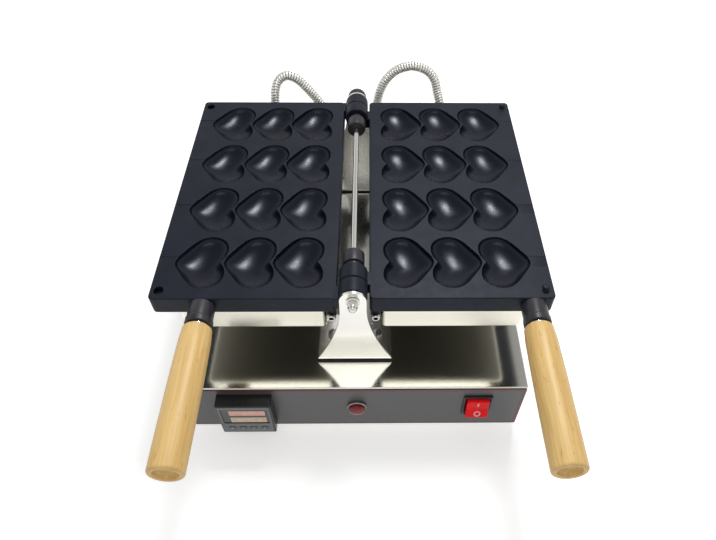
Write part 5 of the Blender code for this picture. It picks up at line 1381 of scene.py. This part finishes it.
def make_switch():
    x, z = SWITCH_X, SWITCH_Z
    face = PANEL_FACE - SWITCH_FRAME_DEPTH
    half_x, half_z = SWITCH_FRAME
    outline = rectangle((x - half_x, z - half_z), (x + half_x, z + half_z), 0.0012, 5)
    bm = bmesh.new()
    extruded(bm, outline, "y", face, PANEL_FACE, 0.0009, 4, ends=(True, False))
    housing = base_piece("switch_housing_frame", bm, [BLACK_PLASTIC], "black_plastic", "switch_housing")
    bm = bmesh.new()
    panel_hole(bm, x, z, *SWITCH_BODY, PANEL_FACE - 0.0005, PANEL_FACE + SWITCH_LENGTH, 0.0006)
    joined = base_tool("body_tool", bm, [BLACK_PLASTIC])
    bm = bmesh.new()
    panel_hole(bm, x, z, *SWITCH_POCKET, face - OVERRUN, face + POCKET_DEPTH, 0.0004)
    carved = base_tool("pocket_tool", bm, [BLACK_PLASTIC])
    cut(housing, joined, "UNION")
    cut(housing, carved)
    applied(housing, [joined, carved], 40)

    tall, proud, back, dish = 0.0125, 0.0090, 0.005, 0.0018
    upper = [
        (-proud, tall * 0.84, 0.0012), (-proud / 2, tall * 0.95, 0.003), (-proud * 0.1, tall, 0.003),
        (back / 2, tall * 0.95, 0.003), (back, tall * 0.70, 0.0005),
    ]
    outline = rounded([(dish - proud, 0.0, 0.020)] + upper + [(y, -h, r) for y, h, r in reversed(upper)],
                      5, closed=True)
    bm = bmesh.new()
    if sum(a[0] * b[1] - b[0] * a[1] for a, b in zip(outline, outline[1:] + outline[:1])) < 0:
        outline = outline[::-1]
    half = SWITCH_POCKET[0] - GAP
    extruded(bm, outline, "x", -half, half, 0.0008, 4)
    known = set(bm.faces)
    slope = dish / (tall * 0.84)

    def surface(h):
        return -proud + dish - slope * abs(h)

    middle = tall * 0.47
    ring = []
    for k in range(32):
        angle = 2 * math.pi * k / 32
        for radius in (0.0030, 0.0019):
            ring.append((radius * math.cos(angle), -middle + radius * math.sin(angle)))
    rows = []
    for lift in (0.0003, -0.00012):
        rows.append([bm.verts.new((px, surface(pz) + lift, pz)) for px, pz in ring])
    for k in range(32):
        a, b = 2 * k, (2 * k + 2) % 64
        low, high = rows
        bm.faces.new((high[a], high[b], high[b + 1], high[a + 1]))
        bm.faces.new((low[a], low[a + 1], low[b + 1], low[b]))
        bm.faces.new((low[a], low[b], high[b], high[a]))
        bm.faces.new((low[a + 1], high[a + 1], high[b + 1], low[b + 1]))
    bars = rectangle((-0.0006, middle - 0.0024), (0.0006, middle + 0.0024), 0.0003, 2)
    loft(bm, [[(px, surface(pz) + lift, pz) for px, pz in bars] for lift in (0.0003, -0.00012)])
    for made in bm.faces:
        made.material_index = 0 if made in known else 1
    tilt = Matrix.Rotation(ROCKER_TILT, 4, "X")
    bmesh.ops.transform(bm, matrix=Matrix.Translation((x, face + ROCKER_PIVOT_DEPTH, z)) @ tilt,
                        verts=bm.verts)
    base_piece("switch_rocker_cap", bm, [RED_PLASTIC, MARK_PAINT], "red_plastic", "switch_rocker",
               body="power_rocker")


def make_glands():
    for label, x in (("left", -GLAND_X), ("right", GLAND_X)):
        bm = bmesh.new()
        turned(bm, [
            (0.0039, -0.007), (GLAND_STEM, -0.007), (GLAND_STEM, 0.0), (0.0070, 0.0), (0.0081, 0.0005),
            (0.0081, 0.0055), (0.0072, 0.0060), (0.0064, 0.0062), (0.0064, 0.0130),
            (0.0058, GLAND_HEIGHT), (0.0057, GLAND_HEIGHT), (0.0057, 0.0100), (0.0039, 0.0100),
        ], (x, PLATE_LENGTH + END_BACK, BASE_TOP + GAP), (0, 0, 1), FINE, flats=0.0145,
        span=(0.0003, 0.0056))
        name = "base_gland_" + label
        base_piece(name + "_fitting", bm, [NICKEL], "nickel_brass", name)
    bm = bmesh.new()
    turned(bm, [
        (0.0040, -0.008), (INLET_STEM, -0.008), (INLET_STEM, 0.0), (0.0088, 0.0), (0.0097, 0.0006),
        (0.0097, 0.0054), (0.0088, 0.0060), (0.0080, 0.0062), (0.0081, 0.0066), (0.0080, 0.0092),
        (0.0072, 0.0112), (0.0060, 0.0120), (0.0044, 0.0120), (0.0040, 0.0116),
    ], (INLET_X, BASE_REAR + GAP, PANEL_ROW), (0, 1, 0), FINE, flats=0.0175, span=(0.0004, 0.0056))
    base_piece("mains_inlet_gland_fitting", bm, [BLACK_PLASTIC], "black_plastic", "mains_inlet_gland")


def finish_inner_nodes():
    for name, finish in (
        ("base_bottom_plate", BASE_STEEL), ("terminal_block", CERAMIC), ("power_relay", BLACK_PLASTIC),
        ("left_heating_element", NICKEL), ("right_heating_element", NICKEL),
        ("left_temperature_probe", BRIGHT_STEEL), ("right_temperature_probe", BRIGHT_STEEL),
        ("left_insulation_pad", WOOL), ("right_insulation_pad", WOOL),
    ):
        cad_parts[name].data.materials[0] = finish


def add_area(name, place, target, size, power):
    data = bpy.data.lights.new(name, "AREA")
    data.shape = "RECTANGLE"
    data.size, data.size_y = size
    data.energy = power
    lamp = bpy.data.objects.new(name, data)
    bpy.context.scene.collection.objects.link(lamp)
    lamp.location = place
    lamp.rotation_euler = (Vector(target) - Vector(place)).to_track_quat("-Z", "Y").to_euler()
    return lamp


def make_camera():
    data = bpy.data.cameras.new("camera")
    data.lens = CAMERA_LENS
    data.sensor_width = 36.0
    data.shift_x, data.shift_y = CAMERA_SHIFT
    data.clip_start = 0.02
    camera = bpy.data.objects.new("camera", data)
    bpy.context.scene.collection.objects.link(camera)
    c, s = math.cos(CAMERA_PITCH), math.sin(CAMERA_PITCH)
    forward = Vector((math.sin(CAMERA_YAW) * c, math.cos(CAMERA_YAW) * c, -s))
    right = Vector((math.cos(CAMERA_YAW), -math.sin(CAMERA_YAW), 0.0))
    up = right.cross(forward)
    level = right * math.cos(CAMERA_ROLL) + up * math.sin(CAMERA_ROLL)
    above = up * math.cos(CAMERA_ROLL) - right * math.sin(CAMERA_ROLL)
    camera.matrix_world = Matrix((
        (level.x, above.x, -forward.x, CAMERA_PLACE[0]),
        (level.y, above.y, -forward.y, CAMERA_PLACE[1]),
        (level.z, above.z, -forward.z, CAMERA_PLACE[2]),
        (0.0, 0.0, 0.0, 1.0),
    ))
    bpy.context.scene.camera = camera


def seen_directly(node, links):
    """One for camera, mirror and see-through rays, which meet the white backdrop itself."""
    path = node("ShaderNodeLightPath")
    total = path.outputs["Is Camera Ray"]
    for name in ("Is Glossy Ray", "Is Transmission Ray"):
        added = node("ShaderNodeMath")
        added.operation = "MAXIMUM"
        links.new(total, added.inputs[0])
        links.new(path.outputs[name], added.inputs[1])
        total = added.outputs[0]
    return total


def make_world():
    """White backdrop that dims towards the ceiling, over a plainer soft light."""
    world = bpy.data.worlds.new("studio")
    bpy.context.scene.world = world
    world.use_nodes = True
    nodes, links = world.node_tree.nodes, world.node_tree.links
    nodes.clear()
    output = nodes.new("ShaderNodeOutputWorld")
    plain = nodes.new("ShaderNodeBackground")
    plain.inputs["Strength"].default_value = WORLD_LIGHT
    shown = nodes.new("ShaderNodeBackground")
    for sky in (plain, shown):
        sky.inputs["Color"].default_value = (1.0, 1.0, 1.0, 1.0)
    place = nodes.new("ShaderNodeTexCoord")
    split = nodes.new("ShaderNodeSeparateXYZ")
    ceiling = nodes.new("ShaderNodeMapRange")
    for socket, value in (("From Min", 0.2), ("From Max", 0.75), ("To Min", 1.0),
                          ("To Max", CEILING_LIGHT)):
        ceiling.inputs[socket].default_value = value
    links.new(place.outputs["Generated"], split.inputs["Vector"])
    links.new(split.outputs["Z"], ceiling.inputs["Value"])
    links.new(ceiling.outputs["Result"], shown.inputs["Strength"])
    mix = nodes.new("ShaderNodeMixShader")
    links.new(seen_directly(nodes.new, links), mix.inputs["Fac"])
    links.new(plain.outputs["Background"], mix.inputs[1])
    links.new(shown.outputs["Background"], mix.inputs[2])
    links.new(mix.outputs["Shader"], output.inputs["Surface"])


def make_floor():
    bm = bmesh.new()
    half = FLOOR_HALF
    bm.faces.new([bm.verts.new((x, y, 0.0)) for x, y in ((-half, -half), (half, -half), (half, half),
                                                         (-half, half))])
    paint = Paint("floor_white", (0.86, 0.86, 0.86), 0.9, Specular_IOR_Level=0.1)
    tone = paint.noise(6.0, detail=2.0)
    paint.colour(paint.ramp(tone, ((0.3, (0.85, 0.85, 0.85)), (0.7, (0.87, 0.87, 0.87)))))
    made = paint.node("ShaderNodeMath", operation="MULTIPLY")
    made.inputs[1].default_value = FLOOR_GLOW
    paint.tree.links.new(seen_directly(paint.node, paint.tree.links), made.inputs[0])
    paint.shader.inputs["Emission Color"].default_value = (1.0, 1.0, 1.0, 1.0)
    paint.tree.links.new(made.outputs[0], paint.shader.inputs["Emission Strength"])
    floor = new_object("floor", bm, [paint.material])


make_camera()
make_world()
make_floor()
add_area("rear_light", *REAR_LIGHT, REAR_POWER)
add_area("front_light", *FRONT_LIGHT, FRONT_POWER)
bpy.context.scene.view_settings.view_transform = "Standard"

make_base_box()
make_feet()
make_controller()
make_lamp()
make_switch()
make_glands()
make_bracket("front_bracket", BRACKET_FRONT, 1)
make_bracket("rear_bracket", BRACKET_REAR, -1)
make_hinge_line()
for hand in ("left", "right"):
    make_plate(hand)
    make_cover(hand)
    make_handle(hand)
    make_cover_bolt(hand)
    make_elbow(hand)
    make_conduit(hand)
finish_inner_nodes()
